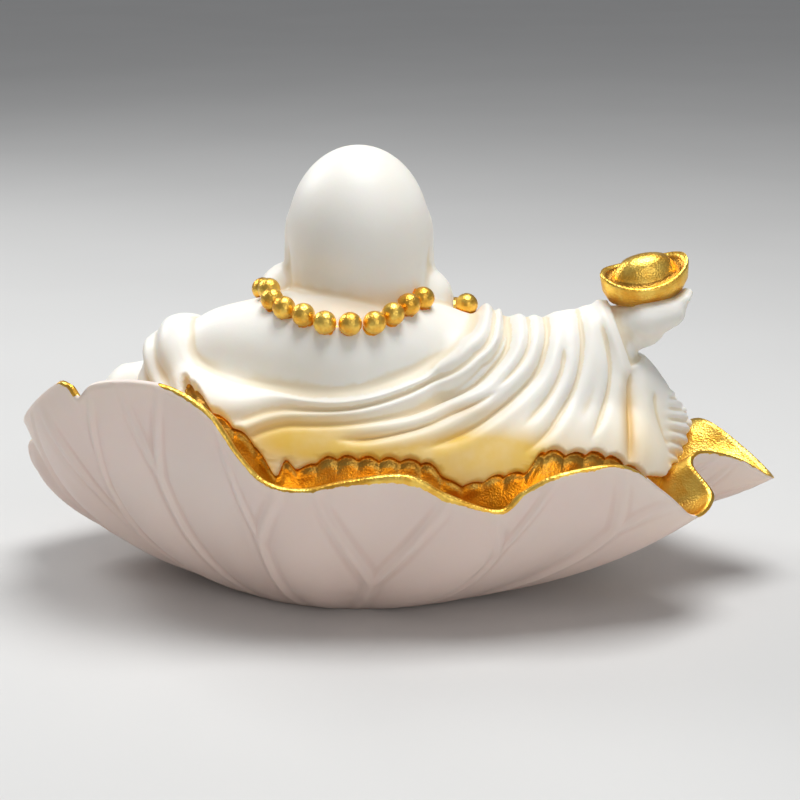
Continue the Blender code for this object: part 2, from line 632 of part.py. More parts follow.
def rim_curve(count):
    """The leaf's rim as rows of (angle, x, y, z), evenly spaced along its length, round and closed."""
    rim = np.array(RIM, float)
    rim[:, 1] *= LEAF_LENGTH / DRAWN_LENGTH
    rim[:, 2] *= LEAF_DEPTH / DRAWN_DEPTH
    turn = np.array([360.0, 0, 0, 0])
    around = np.vstack([rim[-2:] - turn, rim, rim[:3] + turn])
    curve = smooth_through(around, RIM_SAMPLES)
    first = np.searchsorted(curve[:, 0], rim[0, 0])
    last = np.searchsorted(curve[:, 0], rim[0, 0] + 360)
    curve = curve[first : last + 1]
    length = np.concatenate([[0], np.cumsum(np.linalg.norm(np.diff(curve[:, 1:], axis=0), axis=1))])
    even = np.linspace(0, length[-1], count, endpoint=False)
    return np.stack([np.interp(even, length, curve[:, k]) for k in range(4)], axis=1)


def around_table(angle, table):
    """A value that changes smoothly round the leaf, from (angle, value) pairs."""
    a, values = np.array(table, float).T
    a = np.concatenate([a - 360, a, a + 360])
    return np.interp(angle, a, np.tile(values, 3))


def leaf_rows(count, wall_rows, inner_rows):
    """The leaf's skin as rings of points, from the foot up the outside, over the lip and down inside."""
    rim = rim_curve(count)
    angle, edge = rim[:, 0], rim[:, 1:]
    a = np.radians(angle)
    foot_x = FOOT_CENTRE_X + FOOT_LENGTH / 2 * np.cos(a)
    foot = np.stack([foot_x, FOOT_DEPTH / 2 * np.sin(a), 0 * a], axis=1)
    out = (edge - foot) * (1, 1, 0)
    unit = out / np.linalg.norm(out, axis=1)[:, None]
    belly = foot + out * around_table(angle, WALL_SPREAD)[:, None]
    belly[:, 2] = edge[:, 2] * around_table(angle, WALL_RISE)
    t = np.linspace(0, 1, wall_rows)[:, None, None]
    outer = (1 - t) ** 2 * foot + 2 * t * (1 - t) * belly + t**2 * edge
    along = np.roll(outer, -1, axis=1) - np.roll(outer, 1, axis=1)
    up = np.gradient(outer, axis=0)
    normal = np.cross(along, up)
    normal /= np.linalg.norm(normal, axis=2)[:, :, None] + 1e-9
    outer = outer + normal * leaf_relief(angle, t[:, :, 0])[:, :, None]
    lip_top = edge - unit * LIP_THICKNESS / 2 + np.array([0, 0, LIP_THICKNESS * LIP_ROUND])
    lip = edge - unit * LIP_THICKNESS
    floor = foot * BASIN_SHARE + np.array([FOOT_CENTRE_X * (1 - BASIN_SHARE), 0, BASIN_FLOOR])
    knee = belly - unit * around_table(angle, FILL_WIDTH)[:, None]
    knee[:, 2] = np.maximum(belly[:, 2] + FILL_RISE, edge[:, 2] - around_table(angle, FILL_DROP))
    s = np.linspace(0, 1, inner_rows)[:, None, None]
    inner = (1 - s) ** 2 * lip + 2 * s * (1 - s) * knee + s**2 * floor
    return outer, lip_top[None], inner


def leaf_relief(angle, t):
    """Raised veins that fork on their way up the leaf, with the blade swelling gently between them."""
    pitch = 360.0 / VEIN_COUNT
    phase = (angle - VEIN_START) / pitch
    vein = np.round(phase)[None]
    nearest = (phase[None] - vein) * pitch
    fork = VEIN_FORK - VEIN_FORK_CHANGE * np.cos(2 * vein)
    spread = VEIN_FORK_ANGLE * np.clip((t - fork) / (1 - VEIN_FORK), 0, 1.4)
    sway = VEIN_SWAY * np.sin(VEIN_SWAY_STEP * vein) * t
    reach = DEGREE_AT_FOOT + DEGREE_GAIN * t
    left, right = ((nearest - sway - side * spread) * reach for side in (-1, 1))
    gap = np.minimum(abs(left), abs(right))
    ridge = bump(gap, VEIN_HALF_WIDTH)
    groove = bump(gap - GROOVE_AT * VEIN_HALF_WIDTH, VEIN_HALF_WIDTH)
    swell = -np.cos(2 * np.pi * nearest / pitch)
    relief = VEIN_HEIGHT * (ridge - VEIN_GROOVE * groove) + BLADE_SWELL * swell
    for at, half_width, height in BLADE_WAVES:
        away = (angle[None] - at + 180) % 360 - 180
        relief = relief + height * bump(away, half_width) * t
    fade = np.sin(np.pi * np.clip(t, 0, 1)) ** 0.5
    return relief * fade * (t < 1) * (t > 0)


def ring_mesh(rows, name):
    """A closed skin over rings of points, with its first and last rings capped."""
    bm = bmesh.new()
    rings = [[bm.verts.new(p) for p in metres(ring)] for ring in rows]
    for low, high in zip(rings, rings[1:]):
        for k in range(len(low)):
            n = (k + 1) % len(low)
            bm.faces.new((low[k], low[n], high[n], high[k]))
    bm.faces.new(rings[0][::-1])
    bm.faces.new(rings[-1])
    return mesh_from_bmesh(bm, name)


def made_leaf():
    outer, top, inner = leaf_rows(LEAF_STATIONS, LEAF_WALL_ROWS, LEAF_INNER_ROWS)
    return ring_mesh(np.concatenate([outer, top, inner]), "leaf")


def bead_places(figure):
    """Centre of each bead, along the necklace's line laid onto the figure's skin."""
    tree = BVHTree.FromPolygons([v.co for v in figure.vertices], [p.vertices for p in figure.polygons])
    line = grown(smooth_through(NECKLACE + NECKLACE[:1], LINE_SAMPLES))
    slope = math.radians(NECKLACE_SLOPE)
    outward = Vector((0.0, math.cos(slope), math.sin(slope)))
    laid = []
    for point in line:
        near = Vector(point) * MM
        hit, normal, _, _ = tree.find_nearest(near)
        if point[1] > NECKLACE_NAPE:
            hit, normal, _, _ = tree.ray_cast(near + outward, -outward)
        laid.append(np.array(hit) / MM + np.array(normal) * BEAD_RADIUS * (1 - BEAD_SUNK))
    laid = np.array(laid)
    length = np.concatenate([[0], np.cumsum(np.linalg.norm(np.diff(laid, axis=0), axis=1))])
    count = round(length[-1] / BEAD_PITCH)
    even = np.linspace(0, length[-1], count, endpoint=False)
    places = np.stack([np.interp(even, length, laid[:, k]) for k in range(3)], axis=1)
    for x, y, z, radius in TUCKED:
        away = np.linalg.norm(places - grown((x, y, z)), axis=1)
        places = places[away > radius * figure_scale()]
    return places


def made_beads(figure):
    beads = []
    for centre in bead_places(figure):
        bm = bmesh.new()
        place = Matrix.Translation(Vector(centre) * MM)
        bmesh.ops.create_uvsphere(
            bm, u_segments=BEAD_SEGMENTS, v_segments=BEAD_RINGS, radius=BEAD_RADIUS * MM, matrix=place)
        beads.append(mesh_from_bmesh(bm, "bead"))
    return beads


def mesh_joined(meshes):
    bm = bmesh.new()
    for mesh in meshes:
        bm.from_mesh(mesh)
    return mesh_from_bmesh(bm)


def made_ingot(segments):
    """A boat-shaped ingot with raised ends and a domed middle, tipped on the raised palm."""
    a = np.arange(segments) * 2 * np.pi / segments
    rings = []
    for share, width, low, lift in INGOT_PROFILE:
        x = INGOT_LENGTH / 2 * share * np.cos(a)
        y = INGOT_WIDTH / 2 * width * np.sin(a)
        z = INGOT_HEIGHT * (low + lift * np.cos(a) ** 2)
        rings.append(np.stack([x, y, z], axis=1))
    rings = np.array(rings)
    yaw, pitch, roll = np.radians((INGOT_YAW, INGOT_PITCH, INGOT_ROLL))
    tip = Matrix.Rotation(roll, 3, "X") @ Matrix.Rotation(pitch, 3, "Y")
    turn = np.array(tip @ Matrix.Rotation(yaw, 3, "Z"))
    centre = grown(INGOT_SEAT)
    return ring_mesh(rings @ turn.T + centre, "ingot")


def triangulated(mesh):
    bm = bmesh.new()
    bm.from_mesh(mesh)
    bmesh.ops.triangulate(bm, faces=bm.faces)
    return mesh_from_bmesh(bm, mesh.name)


def lightened(mesh, triangles):
    """The same form with about the given number of triangles."""
    mesh = triangulated(mesh)
    obj = new_object("lightening", mesh)
    decimate = obj.modifiers.new("Lighten", "DECIMATE")
    decimate.ratio = min(1.0, triangles / len(mesh.polygons))
    return evaluated(obj)


def levelled(mesh):
    """The leaf with every point near its foot pressed flat onto Z = 0."""
    points = points_of(mesh)
    low = points[:, 2] < FOOT_LEVEL
    points[low, 2] = 0.0
    set_points(mesh, points)
    return mesh


def joined(first, others):
    """One solid from overlapping solids."""
    body = new_object("joined", first)
    tools = []
    for mesh in others:
        tool = new_object("tool", mesh)
        tool.hide_render = True
        tool.display_type = "WIRE"
        tools.append(tool)
        union = body.modifiers.new("Join", "BOOLEAN")
        union.operation = "UNION"
        union.solver = "EXACT"
        union.object = tool
    mesh = evaluated(body)
    for tool in tools:
        bpy.data.objects.remove(tool)
    return mesh


def without_pockets(mesh):
    """Drops every closed shell but the outer one, so that the solid has no sealed hollow."""
    bm = bmesh.new()
    bm.from_mesh(mesh)
    left = set(bm.verts)
    shells = []
    while left:
        queue, shell = [left.pop()], set()
        while queue:
            vert = queue.pop()
            shell.add(vert)
            for edge in vert.link_edges:
                other = edge.other_vert(vert)
                if other in left:
                    left.remove(other)
                    queue.append(other)
        shells.append(shell)
    shells.sort(key=len)
    for shell in shells[:-1]:
        bmesh.ops.delete(bm, geom=list(shell), context="VERTS")
    bmesh.ops.triangulate(bm, faces=bm.faces)
    return mesh_from_bmesh(bm, mesh.name)


def ivory_resin():
    material = bpy.data.materials.new("ivory_resin")
    material.use_nodes = True
    shader = material.node_tree.nodes["Principled BSDF"]
    shader.inputs["Base Color"].default_value = IVORY
    shader.inputs["Roughness"].default_value = IVORY_ROUGHNESS
    shader.inputs["Metallic"].default_value = 0.0
    return material


def main():
    for obj in list(bpy.data.objects):
        bpy.data.objects.remove(obj)
    figure = lightened(made_figure(), FIGURE_TRIANGLES)
    leaf = levelled(lightened(made_leaf(), LEAF_TRIANGLES))
    statue = joined(leaf, [figure, made_ingot(INGOT_SEGMENTS)])
    statue = joined(statue, made_beads(figure))
    statue = without_pockets(statue)
    statue.shade_smooth()
    statue.materials.append(ivory_resin())
    statue.name = "laughing_buddha_statue"
    new_object("laughing_buddha_statue", statue)


main()
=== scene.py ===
"""Laughing buddha seated in a curled lotus leaf: the finely carved and painted casting."""

import math

import bmesh
import bpy
import numpy as np
from mathutils import Matrix, Vector
from mathutils.bvhtree import BVHTree


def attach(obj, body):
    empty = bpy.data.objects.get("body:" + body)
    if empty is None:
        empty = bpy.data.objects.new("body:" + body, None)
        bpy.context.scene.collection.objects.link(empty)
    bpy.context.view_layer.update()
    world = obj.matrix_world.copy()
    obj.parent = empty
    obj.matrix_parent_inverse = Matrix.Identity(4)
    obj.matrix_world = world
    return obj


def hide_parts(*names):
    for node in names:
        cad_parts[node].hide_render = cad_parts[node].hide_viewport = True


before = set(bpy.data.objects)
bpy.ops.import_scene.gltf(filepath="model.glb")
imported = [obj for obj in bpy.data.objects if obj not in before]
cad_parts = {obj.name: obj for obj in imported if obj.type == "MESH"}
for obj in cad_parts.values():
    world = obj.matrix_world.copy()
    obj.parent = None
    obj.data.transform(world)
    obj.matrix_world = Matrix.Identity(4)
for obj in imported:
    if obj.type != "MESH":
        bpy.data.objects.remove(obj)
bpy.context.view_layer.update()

MM = 0.001

# Overall sizes of the ornament.
LEAF_LENGTH = 157.0
LEAF_DEPTH = 84.0
FIGURE_HEIGHT = 90.5

# The leaf: its foot, its lip, the basin that the figure sits in, and its raised veins.
FOOT_LENGTH = 56.0
FOOT_DEPTH = 40.0
FOOT_CENTRE_X = 8.0
BASIN_FLOOR = 9.0
LIP_THICKNESS = 1.5
LIP_ROUND = 0.35
BASIN_SHARE = 0.94
FILL_RISE = 4.0
VEIN_HEIGHT = 0.65
VEIN_HALF_WIDTH = 1.0
VEIN_GROOVE = 0.4
GROOVE_AT = 2.1
VEIN_COUNT = 17
VEIN_FORK = 0.58
VEIN_FORK_CHANGE = 0.2
VEIN_START = 88.0
VEIN_SWAY = 2.0
VEIN_SWAY_STEP = 3.1
VEIN_FORK_ANGLE = 7.0

# Millimetres round the leaf for each degree, at the foot, and how many more there are at the rim.
DEGREE_AT_FOOT = 0.55
DEGREE_GAIN = 0.95

# Gentle swelling of the blade between the veins.
BLADE_SWELL = 0.4

# Valleys below the notches of the rim, and lobes beside them, as (angle, half-width, height).
BLADE_WAVES = ((31, 4.5, -1.6), (17, 8, 0.9), (357, 5, -1.2), (345, 6, 1.6), (139, 5, -1.6), (151, 6, 0.8))

# How the leaf's wall swells, as shares of its reach and rise, and how full its inside is, by angle.
WALL_SPREAD = (
    (0, 0.86), (20, 0.82), (45, 0.84), (90, 0.86), (130, 0.8), (150, 0.62),
    (180, 0.52), (210, 0.6), (270, 0.7), (330, 0.84), (348, 0.95),
)
WALL_RISE = (
    (0, 0.25), (90, 0.25), (130, 0.3), (150, 0.42), (180, 0.45), (210, 0.42), (270, 0.33), (330, 0.28),
)
FILL_WIDTH = (
    (0, 3.0), (40, 6.0), (60, 7.0), (120, 7.0), (140, 4.0), (180, 2.5), (270, 3.0), (330, 3.0),
)
FILL_DROP = (
    (0, 26.0), (40, 16.0), (60, 12.0), (120, 12.0), (140, 18.0), (180, 26.0), (270, 26.0), (330, 26.0),
)

# The robe: how far the cloth stands off the skin, and its rolled hem and folds.
CLOTH = 1.2
FOLD_DEPTH = 1.0
FOLD_HALF_WIDTH = 0.95
SLEEVE_END = 42.2
SLEEVE_TOP = 57.5
SLEEVE_SLANT = 0.3
SLEEVE_ROLL = 0.45
CUFF_WIDTH = 1.6
CUFF_SOFTNESS = 1.0
CUFF_ABOVE = (44.0, 47.0)
FOLD_FADES_IN = (0.0, 0.2)
FOLD_FADES_OUT = (0.7, 1.0)
RUFFLE_SLANT = 0.4
SCALLOP_AT = 1.6
SCALLOP_SOFTNESS = 1.3
SCALLOP_POWER = 0.8
BORDER_FADE = 4.0
RUFFLE_PITCH = 2.4
RUFFLE_HEIGHT = 0.35
SCALLOP_PITCH = 4.0
SCALLOP_HEIGHT = 0.7
SCALLOP_SWELL = 0.5

# How a fold's crease is made up: a soft hollow, a sharp bottom, and raised shoulders.
CREASE_SOFT = 0.6
CREASE_SHARP = 0.5
CREASE_POINT = 0.4
CREASE_SHOULDER = 0.22
SHOULDER_AT = 2.2
SHOULDER_WIDTH = 1.2

# Rolls and creases along the hem over the back, as (distance from its edge, half-width, height).
HEM_BANDS = ((1.9, 1.4, 1.4), (3.4, 0.6, -0.5), (4.4, 0.8, 0.8), (5.5, 0.65, -0.9))
HEM_SPREAD = 0.9
HEM_SPREAD_BETWEEN = (20.0, 40.0)

# Where cloth gives way to the bare head, hands and feet, and the back to the front, as soft limits.
CLOTH_EDGE = (-1.3, 1.3)
BACK_BETWEEN = (-2.0, 3.0)
HEAD_ABOVE = 68.0
HEAD_HALF_WIDTH = 21.0
BARE = -9.0
CUFF_EDGE = (0.0, 0.6)
RIGHT_HAND_ABOVE = (46.6, 47.4)
LIMB_EDGE = (-1.2, -0.4)
FOLDS_FROM = (3.2, 6.0)
FACE_BEFORE = (4.0, 8.0)
RUFFLE_BEYOND = (52.0, 55.0)
RUFFLE_BELOW = (38.0, 41.0)
BORDER_EDGE = (-0.4, 0.5)

# The necklace and the ingot on the raised palm.
BEAD_RADIUS = 2.3
BEAD_PITCH = 5.0
BEAD_SUNK = 0.35
NECKLACE_NAPE = 7.0
NECKLACE_SLOPE = 16.0
BEAD_SEGMENTS = 20
BEAD_RINGS = 14
INGOT_LENGTH = 18.4
INGOT_WIDTH = 11.8
INGOT_HEIGHT = 8.2

# Fineness of the clay and of the final facets.
BODY_SOFTNESS = 2.2
HEAD_SOFTNESS = 0.9
LIMB_SOFTNESS = 0.5
WHOLE_SOFTNESS = 0.7
BODY_VOXEL = 0.8
DETAIL_VOXEL = 0.42
FIGURE_TRIANGLES = 190000
LEAF_STATIONS = 900
LEAF_WALL_ROWS = 56
LEAF_INNER_ROWS = 26
INGOT_SEGMENTS = 96
RIM_SAMPLES = 4000
LINE_SAMPLES = 300

# The figure's own measures were taken at this height and grow with FIGURE_HEIGHT about its seat.
DRAWN_HEIGHT = 90.5
SEAT = np.array([8.0, 0.0, 0.0])

# The leaf's rim as (angle in degrees from +X, x, y, z), drawn on a leaf of this length and depth.
DRAWN_LENGTH = 157.0
DRAWN_DEPTH = 84.0
RIM = (
    (2, 76.8, 4, 34.5),
    (12, 73.0, 13, 41.0),
    (20, 67.5, 19, 46.5),
    (27, 64.6, 22.5, 47.2),
    (31, 62.4, 24.0, 45.0),
    (35, 59.2, 26.5, 48.4),
    (43, 52.0, 30, 50.0),
    (53, 43.5, 32.5, 49.2),
    (60, 36.0, 35, 44.8),
    (65, 30.8, 36.2, 37.4),
    (70, 25.5, 37.4, 32.2),
    (76, 18.4, 38.4, 31.0),
    (83, 10.0, 38.8, 32.8),
    (91, -1.5, 39.0, 34.0),
    (98, -9.5, 38.6, 30.0),
    (105, -19.0, 38.2, 26.8),
    (110, -24.0, 37.0, 30.2),
    (116, -31.0, 36.2, 33.4),
    (126, -43.0, 33.0, 34.0),
    (133, -51.5, 29.5, 27.6),
    (139, -58.0, 25.5, 21.4),
    (145, -62.4, 18.8, 23.6),
    (151, -58.8, 13.5, 28.4),
    (157, -61.8, 9.5, 29.6),
    (167, -70.0, 5.0, 26.6),
    (178, -78.0, -0.5, 21.0),
    (189, -73.0, -9.0, 25.0),
    (200, -65.5, -15.5, 29.0),
    (210, -59.5, -25.0, 24.0),
    (222, -51.0, -35.0, 19.5),
    (235, -38.0, -40.5, 24.0),
    (248, -24.0, -44.0, 18.5),
    (262, -6.0, -45.0, 22.5),
    (276, 10.0, -44.5, 17.5),
    (290, 26.0, -43.0, 22.0),
    (304, 41.0, -40.0, 18.5),
    (318, 55.0, -33.0, 24.0),
    (330, 66.0, -26, 20.5),
    (341, 75.5, -18, 23.0),
    (349, 79.0, -11.5, 25.5),
    (355, 74.6, -3.5, 29.0),
)

# The heavy rolls of the neck that lie over the necklace on each shoulder.
LEFT_ROLL = (21.9, -6, 58.4, 7.7)
RIGHT_ROLL = (-3.8, -3.5, 58.2, 7.4)
ROLL_COVER = 1.7

# Where beads are tucked out of sight under the neck, as (x, y, z, radius).
TUCKED = (
    (*LEFT_ROLL[:3], LEFT_ROLL[3] + ROLL_COVER),
    (*RIGHT_ROLL[:3], RIGHT_ROLL[3] + ROLL_COVER),
    (-9.8, 5.2, 60.6, 3.4),
    (25.0, 4.0, 63.6, 2.5),
)

# Rounded masses of the seated body, each the skin stretched over balls given as (x, y, z, radius).
BODY_MASSES = {
    "shoulders": ((34, 5, 49.3, 10), (-8, 4, 49.5, 9.5), (12, 7, 47.5, 17), (11, -6, 47, 13.5)),
    "nape": ((8.3, 3, 55, 10),),
    "breast_left": ((20, -15, 49, 9),),
    "breast_right": ((-3, -15, 49, 9),),
    "belly": ((16, -11, 36, 21), (2, -11, 36, 21), (9, -12, 30, 21)),
    "loins": ((28, 8, 28, 21.5), (9, 10, 26, 22.5), (-24, 10, 25, 20), (-38, 8, 25, 16.5)),
    "left_upper_arm": ((34, 5, 49.2, 9.4), (42.2, 4, 45.4, 9.7), (42.6, 4, 41, 10)),
    "left_sleeve": ((42.6, 5, 40, 10.2), (34, 17, 36, 11.5), (44, 8, 28, 11)),
    "left_forearm": ((43, 2, 40, 8.6), (48.5, -15, 39.2, 5.0)),
    "left_thigh": ((55.8, -18, 33.2, 7.8), (26, -8, 24, 14)),
    "left_shin": ((55, -20, 28, 8), (14, -31, 19, 7)),
    "right_upper_arm": ((-9, 3, 49.3, 8.6), (-27, 3, 46.6, 8.2)),
    "right_forearm": ((-27, 3, 46.6, 8.2), (-43, 1, 52, 6.2)),
    "right_sleeve": ((-13, 9, 47, 8.5), (-40, 3, 48, 6.6), (-42, 9, 28, 8), (-14, 18, 28, 13)),
    "right_thigh": ((-43.5, -6, 37.5, 10), (-10, -6, 26, 14)),
    "right_shin": ((-44, -7, 37.5, 9.6), (-45, -20, 23, 7.4), (-46, -7, 26, 11)),
    "right_skirt": ((-46, 1, 41.5, 6.5), (-53.2, -1, 31.8, 6.0), (-47, 9, 27, 7)),
    "knee_ruffle": ((-52.6, -11, 37.0, 2.6), (-59.6, -13, 29.0, 2.4), (-50, -9, 30, 6)),
    "lap": ((42, -2, 16, 10), (-40, -2, 16, 10), (8, -26, 15, 8), (8, 20, 18, 12)),
}

# The head and its features. The cranium is an ellipsoid, given by its centre and half-axes.
CRANIUM = ((8.3, -1.0, 73.2), (14.3, 15.4, 17.3))
HEAD_MASSES = {
    "nape": ((8.3, -0.9, 72, 13.9), (8.3, 0.3, 60, 13.6)),
    "left_roll": (LEFT_ROLL, (14, -4, 56, 9)),
    "right_roll": (RIGHT_ROLL, (3, -4, 56, 9)),
    "jaw": ((3.5, -6, 66.5, 9.5), (13.1, -6, 66.5, 9.5), (8.3, -9, 63.5, 7)),
    "double_chin": ((3, -8, 59.5, 6.5), (13.6, -8, 59.5, 6.5)),
    "chin": ((8.3, -14.4, 63.4, 3.0),),
    "nose_bridge": ((8.3, -15.6, 75.8, 1.5), (8.3, -17.3, 71.4, 2.1)),
    "left_nostril": ((10.4, -15.9, 70.9, 1.5),),
    "right_nostril": ((6.2, -15.9, 70.9, 1.5),),
    "left_cheek": ((15.3, -11.4, 69.2, 4.4),),
    "right_cheek": ((1.3, -11.4, 69.2, 4.4),),
    "lips": ((5.6, -14.7, 66.7, 1.7), (11.0, -14.7, 66.7, 1.7)),
}
EAR_BALLS = ((12.6, -3, 77, 1.6), (13.4, -2, 74.4, 1.8), (13.5, -4, 68, 1.6), (13.6, -4, 63.6, 2))

# Hands and feet, with each finger or toe a tapered ball pair.
LIMB_MASSES = {
    "right_wrist": ((-42, 1, 52.6, 5.4), (-49.5, 0.5, 54.0, 4.6)),
    "right_palm": (
        (-49.5, -1.5, 55.4, 4.2), (-49.5, 3, 55.4, 4.2), (-55, 3, 57.2, 2.8), (-55, -3, 57.2, 2.8),
    ),
    "left_wrist": ((47.6, -15, 39.4, 4.6), (50.5, -21, 39.9, 3.4)),
    "left_palm": ((50, -21, 38.8, 3.2), (55.5, -20, 37.6, 3.0), (54, -27, 36.8, 2.4), (58, -23, 36.0, 2.4)),
    "left_thumb": ((49.5, -21, 38.6, 1.7), (49.6, -27.4, 34.6, 1.4)),
    "right_thumb": ((-49.5, -4.5, 56.4, 1.7), (-52.5, -6.9, 60.8, 1.3)),
    "right_foot": ((-43.5, -23, 19.6, 4.8), (-36.5, -31.8, 18.2, 3.4), (-40.5, -32.2, 17.8, 3.0)),
    "left_foot": ((10, -33, 17.5, 5.0), (-7, -35.5, 15.6, 3.6), (-6, -33, 18.2, 3.0)),
}
RIGHT_FINGERS = {
    "root": (-54.0, 0.0, 57.0),
    "tip": (-58.3, 0.0, 60.7),
    "side": (0.0, 1.35, 0.0),
    "closing": 0.75,
    "radii": (1.5, 1.15),
}
LEFT_FINGERS = {
    "root": (56.8, -25.6, 36.0),
    "tip": (58.9, -29.4, 28.2),
    "side": (-1.2, -0.75, 0.0),
    "closing": 1.25,
    "radii": (1.4, 1.05),
}
FINGER_OFFSETS = (-3, -1, 1, 3)
FINGER_REACH = (0.8, 1.0, 1.05, 0.9)
BARE_LIMBS = ("left_palm", "left_thumb", "left_foot", "right_foot")

# The line of the necklace round the neck and over the chest.
NECKLACE = [
    (26.6, 3, 57.6), (23.6, 8.5, 58.6), (19.2, 12, 58.2), (15, 15, 57.3), (9.8, 16, 57.2), (5.1, 16, 57.6),
    (0.3, 14, 59.6), (-3.7, 12, 61.4), (-6.1, 9.5, 62.0), (-12.8, 2, 57.6), (-12.8, -5, 56.6),
    (-11.5, -12, 54.5), (-5.5, -19, 49), (2, -22, 46), (9, -23, 45), (17, -22, 46), (23.5, -17, 49.5),
    (27.2, -10.5, 53), (28.3, -5, 56.5),
]

# The ingot's seat on the palm, its tip, and its rings as (share of length, share of width, low, end lift).
INGOT_SEAT = (-50.0, -1.6, 59.9)
INGOT_YAW = 13.0
INGOT_PITCH = 7.0
INGOT_ROLL = -21.0
INGOT_PROFILE = (
    (0.62, 0.58, 0.0, 0.0),
    (0.86, 0.84, 0.10, 0.0),
    (0.97, 0.98, 0.34, 0.04),
    (1.0, 1.0, 0.56, 0.24),
    (0.97, 0.94, 0.62, 0.27),
    (0.88, 0.83, 0.60, 0.15),
    (0.78, 0.74, 0.56, 0.0),
    (0.70, 0.66, 0.74, 0.0),
    (0.52, 0.48, 1.0, 0.0),
    (0.22, 0.20, 1.12, 0.0),
)

# Edges of the bare skin in the X-Z plane: the low hem across the back, and the open robe in front.
BACK_HEM = ((43, 75), (42.6, 60), (42.0, 55), (41.4, 51.3), (38.8, 48.6), (32.8, 46.8), (25.7, 46),
            (17.6, 45.9), (8.3, 46.4), (-0.8, 48), (-7.8, 50.6), (-12.2, 53.6), (-15.8, 58), (-17, 75))
FRONT_HEM = ((43, 75), (42, 57), (34.5, 52), (31.5, 42), (33, 30), (28, 19), (9, 14.5), (-9, 19),
             (-14.5, 30), (-12.5, 42), (-13, 52), (-16.4, 59), (-17, 75))

# The lower hem of the robe across the back, along the gold border of the leaf, in the X-Z plane.
LOWER_HEM = (
    (-66, 26.4), (-58, 26.4), (-50.4, 26.9), (-44, 31), (-38.6, 33.3), (-33, 34), (-27.7, 34.8),
    (-24.4, 31.7), (-19, 31), (-13, 29.6), (-9.5, 30.2), (-5, 33.6), (3.8, 34.6), (13.3, 34.8),
    (19, 32.6), (22, 33.8), (24, 31.4), (28.7, 37.4), (35.8, 42.6), (42, 45.2), (44, 30), (60, 20),
)
BORDER_RECESS = 0.8
BORDER_FRONT = ((-60, -8), (-48, -2), (-42, 6), (42, 6))

# Folds over the back as (points in the X-Z plane, depth, half-width), pressed in where depth is positive.
BACK_FOLDS = (
    (((-21, 64), (-21.6, 54), (-17.5, 48.8), (-11.5, 45.2), (-2, 42.0), (9, 40.4)), 1.7, 1.1),
    (((-28.5, 64), (-29.6, 56), (-27.4, 49), (-23.3, 45), (-17.3, 41.3), (-9.6, 37.6), (-2, 35.6)),
     1.5, 1.1),
    (((-20, 45.4), (-11.1, 42.0), (-3.8, 39.7), (6, 38.2), (14, 37.9)), 1.2, 0.8),
    (((-35.0, 64), (-36.2, 53), (-34.2, 45), (-29, 38.5), (-22, 33.8)), 0.9, 1.0),
    (((-32.3, 52), (-31.5, 47.5), (-28.3, 43), (-23, 38.5)), 0.6, 0.8),
    (((-25.6, 60), (-25.4, 53), (-22.5, 48.6), (-17, 44.6)), 0.5, 0.8),
    (((-40.2, 57), (-41.4, 47), (-39.7, 40), (-36, 35)), 0.8, 0.9),
    (((-45.6, 47), (-45.4, 38), (-44.4, 28)), 1.3, 1.3),
    (((-50.5, 42), (-51.6, 36), (-54.5, 28)), 0.6, 1.1),
)

# Lines on the front as (points in the X-Z plane, height, half-width), raised where height is positive.
FRONT_LINES = (
    (((5.9, 73.3), (3.3, 74.4), (0.4, 72.9)), -0.55, 0.5),
    (((10.7, 73.3), (13.3, 74.4), (16.2, 72.9)), -0.55, 0.5),
    (((6.4, 77.4), (3.0, 79.0), (-1.0, 76.8)), 0.45, 0.8),
    (((10.2, 77.4), (13.6, 79.0), (17.6, 76.8)), 0.45, 0.8),
    (((3.4, 67.2), (5.8, 66.3), (8.3, 66.0), (10.8, 66.3), (13.2, 67.2)), -0.8, 0.6),
    (((4.6, 70.4), (2.4, 67.8), (2.2, 66.0)), -0.4, 0.6),
    (((12.0, 70.4), (14.2, 67.8), (14.4, 66.0)), -0.4, 0.6),
    (((-10, 46), (-4, 42.4), (3, 42.2), (7.5, 44.2)), -0.8, 1.0),
    (((27, 46), (21, 42.4), (14, 42.2), (9.5, 44.2)), -0.8, 1.0),
    (((8.6, 31.6), (8.4, 33.2)), -1.6, 1.3),
)

# Folds over the knees and the lap as (points in the X-Z plane, depth, half-width).
FRONT_FOLDS = (
    (((-36, 46), (-31, 38), (-28.5, 29), (-29.5, 21), (-32, 15)), 1.1, 1.3),
    (((-28, 46), (-22.5, 37), (-19.5, 28), (-19.5, 20), (-21, 14)), 1.2, 1.4),
    (((-43, 40), (-39.5, 32), (-38.5, 24), (-40, 16)), 0.9, 1.2),
    (((34, 42), (37.5, 34), (37.5, 26), (34, 19), (28, 15)), 1.1, 1.3),
    (((40, 37), (45, 31), (46.5, 25), (44, 19)), 0.9, 1.2),
)


def metres(points):
    return [tuple(float(c) * MM for c in p) for p in points]


def figure_scale():
    return FIGURE_HEIGHT / DRAWN_HEIGHT


def grown(points):
    """Points drawn on the figure, at the figure's real height."""
    return SEAT + (np.asarray(points, float) - SEAT) * figure_scale()


def new_object(name, mesh):
    obj = bpy.data.objects.new(name, mesh)
    bpy.context.scene.collection.objects.link(obj)
    return obj


def mesh_from_bmesh(bm, name="clay"):
    mesh = bpy.data.meshes.new(name)
    bm.to_mesh(mesh)
    bm.free()
    return mesh


